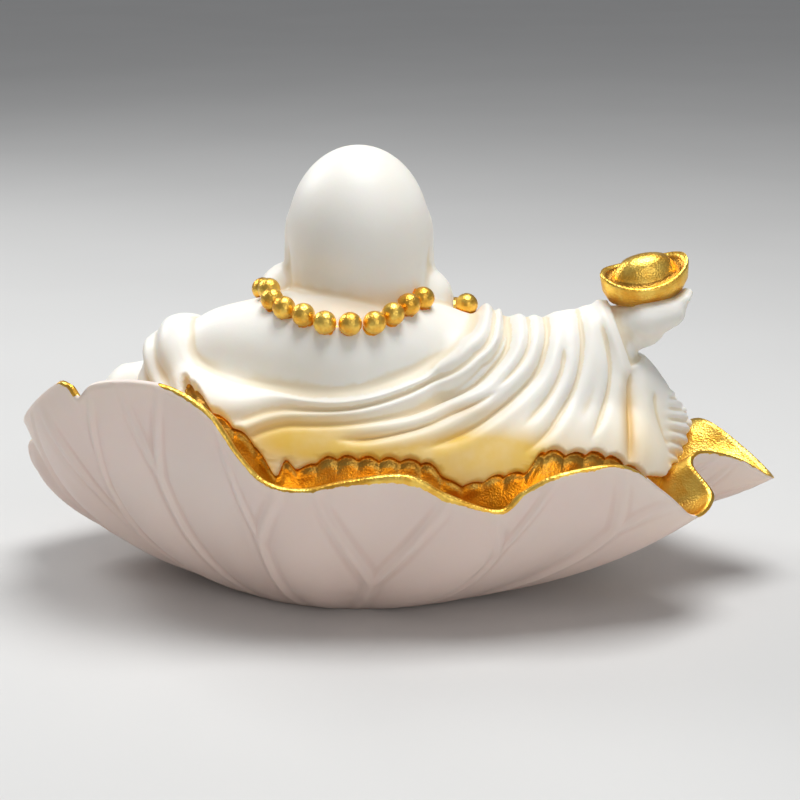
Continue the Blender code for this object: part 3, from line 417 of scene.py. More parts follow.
def ball_hull(balls):
    """The convex skin stretched over balls of (x, y, z, radius)."""
    bm = bmesh.new()
    for x, y, z, radius in balls:
        place = Matrix.Translation(Vector(grown((x, y, z))) * MM)
        size = radius * figure_scale() * MM
        bmesh.ops.create_icosphere(bm, subdivisions=3, radius=size, matrix=place)
    if len(balls) > 1:
        made = bmesh.ops.convex_hull(bm, input=bm.verts)
        covered = made["geom_interior"] + made["geom_unused"]
        inner = list({e for e in covered if isinstance(e, bmesh.types.BMVert)})
        bmesh.ops.delete(bm, geom=inner, context="VERTS")
        holes = [f for f in made["geom_holes"] if isinstance(f, bmesh.types.BMFace) and f.is_valid]
        bmesh.ops.delete(bm, geom=holes, context="FACES_ONLY")
    return mesh_from_bmesh(bm)


def ellipsoid(centre, half_axes):
    bm = bmesh.new()
    size = Matrix.Diagonal((*half_axes, 1.0))
    place = Matrix.Translation(Vector(grown(centre)) * MM)
    shape = place @ Matrix.Scale(figure_scale() * MM, 4) @ size
    bmesh.ops.create_icosphere(bm, subdivisions=4, radius=1.0, matrix=shape)
    return mesh_from_bmesh(bm)


def evaluated(obj):
    """The object's mesh with its modifiers applied, the object itself removed."""
    graph = bpy.context.evaluated_depsgraph_get()
    mesh = bpy.data.meshes.new_from_object(obj.evaluated_get(graph))
    bpy.data.objects.remove(obj)
    return mesh


def fused(meshes, voxel):
    """One closed skin round all the meshes."""
    obj = new_object("fusing", mesh_joined(meshes))
    remesh = obj.modifiers.new("Clay", "REMESH")
    remesh.mode = "VOXEL"
    remesh.voxel_size = voxel * MM
    return evaluated(obj)


def points_of(mesh):
    points = np.empty(len(mesh.vertices) * 3, np.float32)
    mesh.vertices.foreach_get("co", points)
    return points.reshape(-1, 3).astype(float) / MM


def set_points(mesh, points):
    mesh.vertices.foreach_set("co", (points * MM).astype(np.float32).ravel())
    mesh.update()


def normals_of(mesh):
    normals = np.empty(len(mesh.vertices) * 3, np.float32)
    mesh.vertex_normals.foreach_get("vector", normals)
    return normals.reshape(-1, 3).astype(float)


def relaxed(mesh, reach, voxel):
    """Softens creases over about reach millimetres, by moving each point towards its neighbours."""
    edges = np.empty(len(mesh.edges) * 2, np.int32)
    mesh.edges.foreach_get("vertices", edges)
    a, b = edges.reshape(-1, 2).T
    points = points_of(mesh)
    count = len(points)
    degree = np.bincount(a, minlength=count) + np.bincount(b, minlength=count)
    rounds = round((2 * reach / voxel) ** 2)
    for _ in range(rounds):
        total = np.empty_like(points)
        for k in range(3):
            total[:, k] = np.bincount(a, points[b, k], count) + np.bincount(b, points[a, k], count)
        points += (total / degree[:, None] - points) / 2
    set_points(mesh, points)
    return mesh


def smooth_through(points, count=40):
    """A Catmull-Rom curve through the points, with count samples."""
    p = np.array(points, float)
    p = np.vstack([2 * p[0] - p[1], p, 2 * p[-1] - p[-2]])
    at = np.linspace(0, len(p) - 3, count)
    i = np.minimum(at.astype(int), len(p) - 4)
    t = (at - i)[:, None]
    a, b, c, d = p[i], p[i + 1], p[i + 2], p[i + 3]
    return 0.5 * (2 * b + (c - a) * t + (2 * a - 5 * b + 4 * c - d) * t**2 + (3 * b - 3 * c + d - a) * t**3)


def distance_to(flat, curve):
    """Each 2-D point's distance to a curve, and how far along it (0 to 1) the nearest point is."""
    best = np.full(len(flat), 1e9)
    along = np.zeros(len(flat))
    for k in range(len(curve) - 1):
        a, ab = curve[k], curve[k + 1] - curve[k]
        t = np.clip(((flat - a) @ ab) / max(ab @ ab, 1e-9), 0, 1)
        d = np.linalg.norm(flat - a - t[:, None] * ab, axis=1)
        near = d < best
        best[near] = d[near]
        along[near] = (k + t[near]) / (len(curve) - 1)
    return best, along


def inside(flat, outline):
    """Which 2-D points lie inside a closed outline."""
    x, z = flat.T
    hit = np.zeros(len(flat), bool)
    for (x0, z0), (x1, z1) in zip(outline, np.roll(outline, -1, axis=0)):
        crosses = (z0 > z) != (z1 > z)
        hit ^= crosses & (x < (x1 - x0) * (z - z0) / ((z1 - z0) if z1 != z0 else 1e-9) + x0)
    return hit


def step(value, low, high):
    t = np.clip((value - low) / (high - low), 0, 1)
    return t * t * (3 - 2 * t)


def bump(distance, half_width):
    return np.exp(-((distance / half_width) ** 2))


def crease(distance, half_width):
    """A sharp-bottomed crease between soft shoulders."""
    hollow = CREASE_SOFT * bump(distance, half_width)
    bottom = CREASE_SHARP * bump(distance, CREASE_POINT * half_width)
    shoulder = CREASE_SHOULDER * bump(distance - SHOULDER_AT * half_width, SHOULDER_WIDTH * half_width)
    return hollow + bottom - shoulder


def robe_depth(p, hem):
    """How far each drawn point lies inside the robe's cloth from the hem's edge, negative on bare skin."""
    edge = smooth_through(hem, LINE_SAMPLES)
    d, _ = distance_to(p[:, [0, 2]], edge)
    return np.where(inside(p[:, [0, 2]], edge), -d, d)


def scallops(x):
    """Rounded waves from 0 to 1 along the gold border."""
    return abs(np.sin(np.pi * x / SCALLOP_PITCH)) ** SCALLOP_POWER


def depth_within(p, balls):
    """How deep each drawn point lies in the limb stretched over the balls, negative outside it."""
    deepest = np.full(len(p), BARE)
    for k, first in enumerate(balls):
        for second in balls[k + 1 :]:
            a, along = np.array(first, float), np.subtract(second, first)
            t = np.clip(((p - a[:3]) @ along[:3]) / (along[:3] @ along[:3]), 0, 1)
            gap = np.linalg.norm(p - a[:3] - t[:, None] * along[:3], axis=1)
            deepest = np.maximum(deepest, a[3] + t * along[3] - gap)
    return deepest


def lower_hem_height(x):
    line = smooth_through(LOWER_HEM, LINE_SAMPLES)
    return np.interp(x, line[:, 0], line[:, 1]) + SCALLOP_HEIGHT * scallops(x)


def robe_relief(p):
    """Height of the cloth, its rolled hem and its folds over the skin, at each drawn point."""
    flat = p[:, [0, 2]]
    x, y, z = p.T
    is_back = step(y, *BACK_BETWEEN)
    on_head = (z > HEAD_ABOVE) & (abs(x - CRANIUM[0][0]) < HEAD_HALF_WIDTH)
    depth = robe_depth(p, BACK_HEM) * is_back + robe_depth(p, FRONT_HEM) * (1 - is_back)
    depth = np.where(on_head, BARE, depth)
    past_cuff = -x - SLEEVE_END - SLEEVE_SLANT * (SLEEVE_TOP - z)
    right_hand = step(past_cuff, *CUFF_EDGE) * step(z, *RIGHT_HAND_ABOVE)
    bare = [LIMB_MASSES[name] for name in BARE_LIMBS] + fingers(LEFT_FINGERS)
    limbs = step(np.max([depth_within(p, balls) for balls in bare], axis=0), *LIMB_EDGE)
    cloth = step(depth, *CLOTH_EDGE) * (1 - np.maximum(right_hand, limbs))
    spread = 1 + HEM_SPREAD * step(x, *HEM_SPREAD_BETWEEN) * is_back
    relief = CLOTH * cloth
    for at, half_width, height in HEM_BANDS:
        share = 1.0 if at == HEM_BANDS[0][0] else is_back
        relief += height * share * cloth * bump(depth / spread - at, half_width)
    relief += SLEEVE_ROLL * bump(past_cuff + CUFF_WIDTH, CUFF_SOFTNESS) * step(z, *CUFF_ABOVE)
    for points, sunk, width in BACK_FOLDS:
        d, along = distance_to(flat, smooth_through(points))
        ends = (1 - step(along, *FOLD_FADES_OUT)) * step(along, *FOLD_FADES_IN)
        shown = step(depth, *FOLDS_FROM) * ends * is_back * cloth
        relief -= FOLD_DEPTH * sunk * crease(d, FOLD_HALF_WIDTH * width) * shown
    ruffle = np.sin(2 * np.pi * (z - RUFFLE_SLANT * y) / RUFFLE_PITCH)
    relief += RUFFLE_HEIGHT * ruffle * step(-x, *RUFFLE_BEYOND) * (1 - step(z, *RUFFLE_BELOW))
    border_front = np.interp(x, *np.array(BORDER_FRONT).T)
    drop = lower_hem_height(x) - z
    below = step(drop, *BORDER_EDGE) * step(y - border_front, 0, BORDER_FADE)
    swell = SCALLOP_SWELL * scallops(x) * bump(drop - SCALLOP_AT, SCALLOP_SOFTNESS)
    return relief - (relief + BORDER_RECESS - swell) * below


def front_relief(p):
    """The features of the face, the creases of the belly and the folds of the lap, at each drawn point."""
    relief = np.zeros(len(p))
    facing = step(-p[:, 1], *FACE_BEFORE)
    for points, sunk, width in FRONT_FOLDS:
        d, along = distance_to(p[:, [0, 2]], smooth_through(points))
        ends = step(along, *FOLD_FADES_IN) * (1 - step(along, *FOLD_FADES_OUT))
        relief -= FOLD_DEPTH * sunk * crease(d, FOLD_HALF_WIDTH * width) * ends * facing
    for points, height, width in FRONT_LINES:
        d, _ = distance_to(p[:, [0, 2]], smooth_through(points))
        relief += height * bump(d, width) * facing
    return relief


def fingers(hand):
    """The ball pairs of four fingers side by side."""
    root, tip, side = (np.array(hand[key], float) for key in ("root", "tip", "side"))
    root_radius, tip_radius = hand["radii"]
    made = []
    for offset, reach in zip(FINGER_OFFSETS, FINGER_REACH):
        start = root + offset * side
        end = root + reach * (tip - root) + offset * side * hand["closing"]
        made.append(((*start, root_radius), (*end, tip_radius)))
    return made


def made_figure():
    body = [ball_hull(balls) for balls in BODY_MASSES.values()]
    body = relaxed(fused(body, BODY_VOXEL), BODY_SOFTNESS, BODY_VOXEL)
    ears = [
        ball_hull([(CRANIUM[0][0] + side * x, y, z, r) for x, y, z, r in EAR_BALLS]) for side in (-1, 1)
    ]
    head = [ellipsoid(*CRANIUM)] + [ball_hull(b) for b in HEAD_MASSES.values()]
    head = relaxed(fused(head + ears, DETAIL_VOXEL), HEAD_SOFTNESS, DETAIL_VOXEL)
    limbs = [*LIMB_MASSES.values(), *fingers(RIGHT_FINGERS), *fingers(LEFT_FINGERS)]
    limbs = [ball_hull(balls) for balls in limbs]
    limbs = relaxed(fused(limbs, DETAIL_VOXEL), LIMB_SOFTNESS, DETAIL_VOXEL)
    figure = relaxed(fused([body, head, limbs], DETAIL_VOXEL), WHOLE_SOFTNESS, DETAIL_VOXEL)
    points = points_of(figure)
    drawn = SEAT + (points - SEAT) / figure_scale()
    relief = robe_relief(drawn) + front_relief(drawn)
    set_points(figure, points + normals_of(figure) * relief[:, None])
    return figure


def rim_curve(count):
    """The leaf's rim as rows of (angle, x, y, z), evenly spaced along its length, round and closed."""
    rim = np.array(RIM, float)
    rim[:, 1] *= LEAF_LENGTH / DRAWN_LENGTH
    rim[:, 2] *= LEAF_DEPTH / DRAWN_DEPTH
    turn = np.array([360.0, 0, 0, 0])
    around = np.vstack([rim[-2:] - turn, rim, rim[:3] + turn])
    curve = smooth_through(around, RIM_SAMPLES)
    first = np.searchsorted(curve[:, 0], rim[0, 0])
    last = np.searchsorted(curve[:, 0], rim[0, 0] + 360)
    curve = curve[first : last + 1]
    length = np.concatenate([[0], np.cumsum(np.linalg.norm(np.diff(curve[:, 1:], axis=0), axis=1))])
    even = np.linspace(0, length[-1], count, endpoint=False)
    return np.stack([np.interp(even, length, curve[:, k]) for k in range(4)], axis=1)


def around_table(angle, table):
    """A value that changes smoothly round the leaf, from (angle, value) pairs."""
    a, values = np.array(table, float).T
    a = np.concatenate([a - 360, a, a + 360])
    return np.interp(angle, a, np.tile(values, 3))


def leaf_rows(count, wall_rows, inner_rows):
    """The leaf's skin as rings of points, from the foot up the outside, over the lip and down inside."""
    rim = rim_curve(count)
    angle, edge = rim[:, 0], rim[:, 1:]
    a = np.radians(angle)
    foot_x = FOOT_CENTRE_X + FOOT_LENGTH / 2 * np.cos(a)
    foot = np.stack([foot_x, FOOT_DEPTH / 2 * np.sin(a), 0 * a], axis=1)
    out = (edge - foot) * (1, 1, 0)
    unit = out / np.linalg.norm(out, axis=1)[:, None]
    belly = foot + out * around_table(angle, WALL_SPREAD)[:, None]
    belly[:, 2] = edge[:, 2] * around_table(angle, WALL_RISE)
    t = np.linspace(0, 1, wall_rows)[:, None, None]
    outer = (1 - t) ** 2 * foot + 2 * t * (1 - t) * belly + t**2 * edge
    along = np.roll(outer, -1, axis=1) - np.roll(outer, 1, axis=1)
    up = np.gradient(outer, axis=0)
    normal = np.cross(along, up)
    normal /= np.linalg.norm(normal, axis=2)[:, :, None] + 1e-9
    outer = outer + normal * leaf_relief(angle, t[:, :, 0])[:, :, None]
    lip_top = edge - unit * LIP_THICKNESS / 2 + np.array([0, 0, LIP_THICKNESS * LIP_ROUND])
    lip = edge - unit * LIP_THICKNESS
    floor = foot * BASIN_SHARE + np.array([FOOT_CENTRE_X * (1 - BASIN_SHARE), 0, BASIN_FLOOR])
    knee = belly - unit * around_table(angle, FILL_WIDTH)[:, None]
    knee[:, 2] = np.maximum(belly[:, 2] + FILL_RISE, edge[:, 2] - around_table(angle, FILL_DROP))
    s = np.linspace(0, 1, inner_rows)[:, None, None]
    inner = (1 - s) ** 2 * lip + 2 * s * (1 - s) * knee + s**2 * floor
    return outer, lip_top[None], inner


def leaf_relief(angle, t):
    """Raised veins that fork on their way up the leaf, with the blade swelling gently between them."""
    pitch = 360.0 / VEIN_COUNT
    phase = (angle - VEIN_START) / pitch
    vein = np.round(phase)[None]
    nearest = (phase[None] - vein) * pitch
    fork = VEIN_FORK - VEIN_FORK_CHANGE * np.cos(2 * vein)
    spread = VEIN_FORK_ANGLE * np.clip((t - fork) / (1 - VEIN_FORK), 0, 1.4)
    sway = VEIN_SWAY * np.sin(VEIN_SWAY_STEP * vein) * t
    reach = DEGREE_AT_FOOT + DEGREE_GAIN * t
    left, right = ((nearest - sway - side * spread) * reach for side in (-1, 1))
    gap = np.minimum(abs(left), abs(right))
    ridge = bump(gap, VEIN_HALF_WIDTH)
    groove = bump(gap - GROOVE_AT * VEIN_HALF_WIDTH, VEIN_HALF_WIDTH)
    swell = -np.cos(2 * np.pi * nearest / pitch)
    relief = VEIN_HEIGHT * (ridge - VEIN_GROOVE * groove) + BLADE_SWELL * swell
    for at, half_width, height in BLADE_WAVES:
        away = (angle[None] - at + 180) % 360 - 180
        relief = relief + height * bump(away, half_width) * t
    fade = np.sin(np.pi * np.clip(t, 0, 1)) ** 0.5
    return relief * fade * (t < 1) * (t > 0)


def ring_mesh(rows, name):
    """A closed skin over rings of points, with its first and last rings capped."""
    bm = bmesh.new()
    rings = [[bm.verts.new(p) for p in metres(ring)] for ring in rows]
    for low, high in zip(rings, rings[1:]):
        for k in range(len(low)):
            n = (k + 1) % len(low)
            bm.faces.new((low[k], low[n], high[n], high[k]))
    bm.faces.new(rings[0][::-1])
    bm.faces.new(rings[-1])
    return mesh_from_bmesh(bm, name)


def bead_places(figure):
    """Centre of each bead, along the necklace's line laid onto the figure's skin."""
    tree = BVHTree.FromPolygons([v.co for v in figure.vertices], [p.vertices for p in figure.polygons])
    line = grown(smooth_through(NECKLACE + NECKLACE[:1], LINE_SAMPLES))
    slope = math.radians(NECKLACE_SLOPE)
    outward = Vector((0.0, math.cos(slope), math.sin(slope)))
    laid = []
    for point in line:
        near = Vector(point) * MM
        hit, normal, _, _ = tree.find_nearest(near)
        if point[1] > NECKLACE_NAPE:
            hit, normal, _, _ = tree.ray_cast(near + outward, -outward)
        laid.append(np.array(hit) / MM + np.array(normal) * BEAD_RADIUS * (1 - BEAD_SUNK))
    laid = np.array(laid)
    length = np.concatenate([[0], np.cumsum(np.linalg.norm(np.diff(laid, axis=0), axis=1))])
    count = round(length[-1] / BEAD_PITCH)
    even = np.linspace(0, length[-1], count, endpoint=False)
    places = np.stack([np.interp(even, length, laid[:, k]) for k in range(3)], axis=1)
    for x, y, z, radius in TUCKED:
        away = np.linalg.norm(places - grown((x, y, z)), axis=1)
        places = places[away > radius * figure_scale()]
    return places


def made_beads(figure):
    beads = []
    for centre in bead_places(figure):
        bm = bmesh.new()
        place = Matrix.Translation(Vector(centre) * MM)
        bmesh.ops.create_uvsphere(
            bm, u_segments=BEAD_SEGMENTS, v_segments=BEAD_RINGS, radius=BEAD_RADIUS * MM, matrix=place)
        beads.append(mesh_from_bmesh(bm, "bead"))
    return beads


def mesh_joined(meshes):
    bm = bmesh.new()
    for mesh in meshes:
        bm.from_mesh(mesh)
    return mesh_from_bmesh(bm)


def made_ingot(segments):
    """A boat-shaped ingot with raised ends and a domed middle, tipped on the raised palm."""
    a = np.arange(segments) * 2 * np.pi / segments
    rings = []
    for share, width, low, lift in INGOT_PROFILE:
        x = INGOT_LENGTH / 2 * share * np.cos(a)
        y = INGOT_WIDTH / 2 * width * np.sin(a)
        z = INGOT_HEIGHT * (low + lift * np.cos(a) ** 2)
        rings.append(np.stack([x, y, z], axis=1))
    rings = np.array(rings)
    yaw, pitch, roll = np.radians((INGOT_YAW, INGOT_PITCH, INGOT_ROLL))
    tip = Matrix.Rotation(roll, 3, "X") @ Matrix.Rotation(pitch, 3, "Y")
    turn = np.array(tip @ Matrix.Rotation(yaw, 3, "Z"))
    centre = grown(INGOT_SEAT)
    return ring_mesh(rings @ turn.T + centre, "ingot")


def triangulated(mesh):
    bm = bmesh.new()
    bm.from_mesh(mesh)
    bmesh.ops.triangulate(bm, faces=bm.faces)
    return mesh_from_bmesh(bm, mesh.name)


def lightened(mesh, triangles):
    """The same form with about the given number of triangles."""
    mesh = triangulated(mesh)
    obj = new_object("lightening", mesh)
    decimate = obj.modifiers.new("Lighten", "DECIMATE")
    decimate.ratio = min(1.0, triangles / len(mesh.polygons))
    return evaluated(obj)


# The camera looks down on the statue's back, with metres and a lens and sensor in millimetres.
AIM = (0.0, 0.0, 0.038)
CAMERA_DISTANCE = 0.40
CAMERA_ELEVATION = math.radians(16.0)
CAMERA_LENS = 87.48
CAMERA_SENSOR = 36.0
CAMERA_NEAREST = 0.01

# Soft lamps as (name, place, watts, size), in metres, the sky's strength and the floor's half size.
LAMPS = (
    ("overhead", (-0.06, -0.02, 0.60), 2.9, 0.30),
    ("behind_left", (0.42, -0.30, 0.38), 1.2, 0.22),
    ("camera_fill", (-0.30, 0.70, 0.35), 0.9, 0.40),
)
DAYLIGHT_STRENGTH = 0.25
FLOOR_REACH = 12.0

# The floor's clouds and grain as (scale, detail), how far they show, and its roughness as (least, swing).
FLOOR_CLOUDS = (9, 2)
FLOOR_CLOUD_LIMITS = (0.3, 0.7, 0.0, 0.3)
FLOOR_GRAIN = (500, 2)
FLOOR_ROUGHNESS = (0.55, 0.1)
FLOOR_DIMPLES = (800, 2)
FLOOR_BUMP = 0.05

# The part's node that the painted pieces stand for.
NODE = "laughing_buddha_statue"

# Paint and resin colours, in linear light.
IVORY_LIGHT = (0.94, 0.92, 0.86, 1)
IVORY_WARM = (0.80, 0.66, 0.40, 1)
# The leaf's resin, tinted pinker and darker than the figure's: painted reflection of pink light and painted
# shade.
LEAF_IVORY_PAINTED_PINK = (0.90, 0.77, 0.70, 1)
LEAF_PINK_PAINTED_SHADE = (0.70, 0.50, 0.42, 1)
# Yellow: partly airbrushed paint, partly painted reflection of the gold.
YELLOW_AIRBRUSH_AND_REFLECTION = (0.88, 0.58, 0.10, 1)
# Orange: partly airbrushed paint, partly painted shade in deep folds and under the neck and painted
# reflection of the gold.
ORANGE_AIRBRUSH_AND_SHADE = (0.75, 0.48, 0.15, 1)
# Gold: the darker tones are painted shade and painted reflection of dark surroundings.
GOLD_BRIGHT = (1.0, 0.68, 0.14, 1)
GOLD_MID = (0.88, 0.46, 0.06, 1)
GOLD_DARK = (0.36, 0.14, 0.02, 1)
FLOOR_LIGHT = (0.70, 0.70, 0.69, 1)
FLOOR_DARK = (0.64, 0.64, 0.63, 1)
DAYLIGHT = (0.96, 0.97, 1.0, 1)

# Resin: how light scatters in it, its roughness as (least, swing), and its clouds and grain as
# (scale, detail, roughness), with the creases, tinted warmer, partly a wash and partly painted shade,
# and the leaf's low parts, tinted pinker and darker as painted reflected light and painted shade.
SCATTER_SHARE = 0.22
SCATTER_COLOURS = (1.0, 0.62, 0.4)
SCATTER_METRES = 0.004
RESIN_ROUGHNESS = (0.38, 0.16)
RESIN_CLOUDS = (38, 4)
RESIN_CLOUD_LIMITS = (0.35, 0.75, 0.0, 0.14)
RESIN_GRAIN = (900, 3, 0.6)
RESIN_BUMP = 0.08
BUMP_METRES = 0.0003
CREASE_BETWEEN = (0.015, 0.22)
# Heights in metres over which the leaf's painted pink reflected light and painted shade fade in towards the
# foot.
PAINTED_BOUNCE_BETWEEN = (0.036, 0.004)
# How strongly the creases are tinted: partly a wash, partly painted shade.
FIGURE_CREASE_WASH_AND_SHADE = 0.55
LEAF_CREASE_WASH_AND_SHADE = 0.35
LEAF_PAINTED_BOUNCE = 0.5
CREASE_ROUNDS = 12
INGOT_CREASE_ROUNDS = 6

# Gold paint: random patches of lighter and darker gold, a painted reflection of dark surroundings, its grain
# and flakes, how much each of them stands up, how dark the gold is in hollows as painted shade, and how its
# edge wanders, as (scale, reach in millimetres).
GOLD_PATCHES = (260, 4)
GOLD_PATCH_LIMITS = (0.32, 0.68)
GOLD_GRAIN = (2200, 2, 0.7)
GOLD_FLAKES = 2500
GRAIN_HEIGHT = 0.5
FLAKE_HEIGHT = 0.7
GOLD_ROUGHNESS = (0.2, 0.3)
GOLD_BUMP = 0.3
GOLD_HOLLOW_LIMITS = (0.02, 0.22, 0.0, 0.7)
BRUSH_WANDER = (420, 1.3)
BRUSH_HAIRS = (1700, 0.35)
BRUSH_EDGE = 0.05

# Patches over the back, as (x, z, half-width, half-height, strength): the yellow ones partly airbrushed
# paint and partly painted reflection of the gold border, the orange ones partly airbrushed paint and partly
# painted shade in the deep folds and under the neck, with painted reflection of the gold.
YELLOW_PATCHES = (
    (19, 38.0, 14, 4.8, 1.1),
    (-14.5, 34.2, 14, 4.6, 2.2),
    (3, 35.5, 12, 2.4, 0.5),
    (-48, 34, 9, 7, 0.3),
)
# The orange ones lie in deep folds and under the neck: painted shade and painted reflection of the gold,
# partly airbrush.
ORANGE_PATCHES = (
    (-45.3, 37.5, 1.5, 6.5, 0.9),
    (-13, 42.8, 9, 1.4, 0.3),
    (8.3, 61.6, 10, 2.8, 0.45),
)
AIRBRUSH_GRAIN = 120
AIRBRUSH_LIMITS = (0.2, 0.7, 0.75, 1.0)
BEHIND_FROM = (4, 9)

# Where the gold goes: round each bead, in the border's recess, and over the lip of the leaf.
BEAD_SPILL = 0.25
BORDER_BEHIND = 6.0
RECESS_SHADE = 0.6
LIP_SPILL = 0.15
LIP_POOL = 1.3
LIP_POOL_AT = -3.0
LIP_POOL_WIDTH = 11.0
LIP_GOLD = 3.0
LEAF_GOLD = 6.0
BARE_LIP_LEFT = (43.5, 48.0)
BARE_LIP_RIGHT = (-53.0, 5.5)
BARE_LIP_BEHIND = (-12.0, -4.0)
BARE_LIP_DEPTH = 2.2
NOTCH_SPOT = (65.0, 2.0)

# How deep the figure is pressed under the leaf's outer wall, how near the wall a point has to be for that,
# and the share of the wall's rows, from the foot up, that it goes by.
WALL_COVER = 0.35
WALL_REACH = 2.0
WALL_SHARE = 0.8


def add_attribute(mesh, name, values):
    layer = mesh.attributes.new(name, "FLOAT", "POINT")
    layer.data.foreach_set("value", np.asarray(values, np.float32))


def hollowness(mesh, rounds):
    """How deep each point lies in a crease, in millimetres, negative on ridges."""
    points = points_of(mesh)
    normals = normals_of(mesh)
    edges = np.empty(len(mesh.edges) * 2, np.int32)
    mesh.edges.foreach_get("vertices", edges)
    a, b = edges.reshape(-1, 2).T
    count = len(points)
    degree = np.bincount(a, minlength=count) + np.bincount(b, minlength=count)
    soft = points.copy()
    for _ in range(rounds):
        total = np.empty_like(soft)
        for k in range(3):
            total[:, k] = np.bincount(a, soft[b, k], count) + np.bincount(b, soft[a, k], count)
        soft = total / degree[:, None]
    return ((soft - points) * normals).sum(axis=1)


def blob(p, x, z, rx, rz):
    return np.exp(-(((p[:, 0] - x) / rx) ** 2) - ((p[:, 2] - z) / rz) ** 2)


def spot(x, middle, half_width):
    """One within the half-width of the middle and zero beyond it."""
    return (abs(x - middle) < half_width).astype(float)


def node(tree, kind, **settings):
    made = tree.nodes.new("ShaderNode" + kind)
    for key, value in settings.items():
        setattr(made, key, value)
    return made


class Paint:
    """A Principled material whose colour, roughness and bump are built up from nodes."""

    def __init__(self, name, subsurface=0.0):
        self.material = bpy.data.materials.new(name)
        self.material.use_nodes = True
        self.tree = self.material.node_tree
        self.shader = self.tree.nodes["Principled BSDF"]
        self.shader.inputs["Subsurface Weight"].default_value = subsurface
        self.shader.inputs["Subsurface Radius"].default_value = SCATTER_COLOURS
        self.shader.inputs["Subsurface Scale"].default_value = SCATTER_METRES
        self.place = node(self.tree, "TexCoord").outputs["Object"]

    def link(self, a, b):
        self.tree.links.new(a, b)

    def attribute(self, name):
        return node(self.tree, "Attribute", attribute_name=name).outputs["Fac"]

    def noise(self, scale, detail=3.0, rough=0.55):
        made = node(self.tree, "TexNoise")
        made.inputs["Scale"].default_value = scale
        made.inputs["Detail"].default_value = detail
        made.inputs["Roughness"].default_value = rough
        self.link(self.place, made.inputs["Vector"])
        return made.outputs["Fac"]

    def flakes(self, scale):
        made = node(self.tree, "TexVoronoi")
        made.inputs["Scale"].default_value = scale
        self.link(self.place, made.inputs["Vector"])
        return made.outputs["Distance"]

    def math(self, operation, a, b=0.0):
        made = node(self.tree, "Math", operation=operation)
        for socket, value in zip(made.inputs, (a, b)):
            if isinstance(value, (int, float)):
                socket.default_value = value
            else:
                self.link(value, socket)
        return made.outputs[0]

    def ramp(self, value, low, high, out_low=0.0, out_high=1.0):
        made = node(self.tree, "MapRange", interpolation_type="SMOOTHSTEP")
        for key, number in zip(("From Min", "From Max", "To Min", "To Max"), (low, high, out_low, out_high)):
            made.inputs[key].default_value = number
        self.link(value, made.inputs["Value"])
        return made.outputs["Result"]

    def mix(self, share, a, b):
        made = node(self.tree, "Mix", data_type="RGBA")
        self.link(share, made.inputs[0])
        for socket, value in ((made.inputs[6], a), (made.inputs[7], b)):
            if isinstance(value, tuple):
                socket.default_value = value
            else:
                self.link(value, socket)
        return made.outputs[2]

    def mix_number(self, share, a, b):
        made = node(self.tree, "Mix", data_type="FLOAT")
        for socket, value in zip((made.inputs[0], made.inputs[2], made.inputs[3]), (share, a, b)):
            self.link(value, socket)
        return made.outputs[0]

    def wander(self, scale, reach):
        """Noise that swings evenly to both sides of zero."""
        return self.math("MULTIPLY", self.math("SUBTRACT", self.noise(scale), 0.5), reach)

    def roughness(self, grain, least, swing):
        return self.math("ADD", self.math("MULTIPLY", grain, swing), least)

    def bump(self, height, strength):
        made = node(self.tree, "Bump")
        made.inputs["Strength"].default_value = strength
        made.inputs["Distance"].default_value = BUMP_METRES
        self.link(height, made.inputs["Height"])
        return made.outputs["Normal"]

    def finish(self, colour, roughness, normal, metallic=None):
        self.link(colour, self.shader.inputs["Base Color"])
        self.link(roughness, self.shader.inputs["Roughness"])
        self.link(normal, self.shader.inputs["Normal"])
        if metallic is not None:
            self.link(metallic, self.shader.inputs["Metallic"])
        return self.material


def gold_look(paint):
    """Colour, roughness and height of brushed-on gold paint, in patches of painted dark reflection, and
    darker in the hollows and the border's recess as painted shade.
    """
    # Random lighter and darker patches: painted reflection of dark surroundings.
    patches = paint.ramp(paint.noise(*GOLD_PATCHES), *GOLD_PATCH_LIMITS)
    grain = paint.noise(*GOLD_GRAIN)
    flakes = paint.flakes(GOLD_FLAKES)
    # Darker in the hollows and in the border's recess: painted shade.
    dark = paint.ramp(paint.attribute("hollow"), *GOLD_HOLLOW_LIMITS)
    dark = paint.math("MAXIMUM", dark, paint.attribute("shade"))
    colour = paint.mix(dark, paint.mix(patches, GOLD_MID, GOLD_BRIGHT), GOLD_DARK)
    raised_flakes = paint.math("MULTIPLY", flakes, FLAKE_HEIGHT)
    height = paint.math("ADD", raised_flakes, paint.math("MULTIPLY", grain, GRAIN_HEIGHT))
    return colour, paint.roughness(grain, *GOLD_ROUGHNESS), height


def resin_look(paint, light, warm, crease_wash_and_shade, painted_bounce):
    """Colour, roughness and height of cast ivory-coloured resin, warmer in the creases, partly a wash and
    partly painted shade, and on the leaf pinker low down as painted reflected light and painted shade.
    """
    clouds = paint.noise(*RESIN_CLOUDS)
    grain = paint.noise(*RESIN_GRAIN)
    crease = paint.ramp(paint.attribute("hollow"), *CREASE_BETWEEN)
    height = node(paint.tree, "SeparateXYZ")
    paint.link(paint.place, height.inputs[0])
    # Low down the colour goes warmer: on the leaf a painted reflection of pink light and painted shade.
    low = paint.ramp(height.outputs["Z"], *PAINTED_BOUNCE_BETWEEN, 0.0, painted_bounce)
    colour = paint.mix(low, light, warm)
    # Warmer in the creases: partly a wash, partly painted shade.
    colour = paint.mix(paint.math("MULTIPLY", crease, crease_wash_and_shade), colour, warm)
    colour = paint.mix(paint.ramp(clouds, *RESIN_CLOUD_LIMITS), colour, warm)
    return colour, paint.roughness(grain, *RESIN_ROUGHNESS), grain


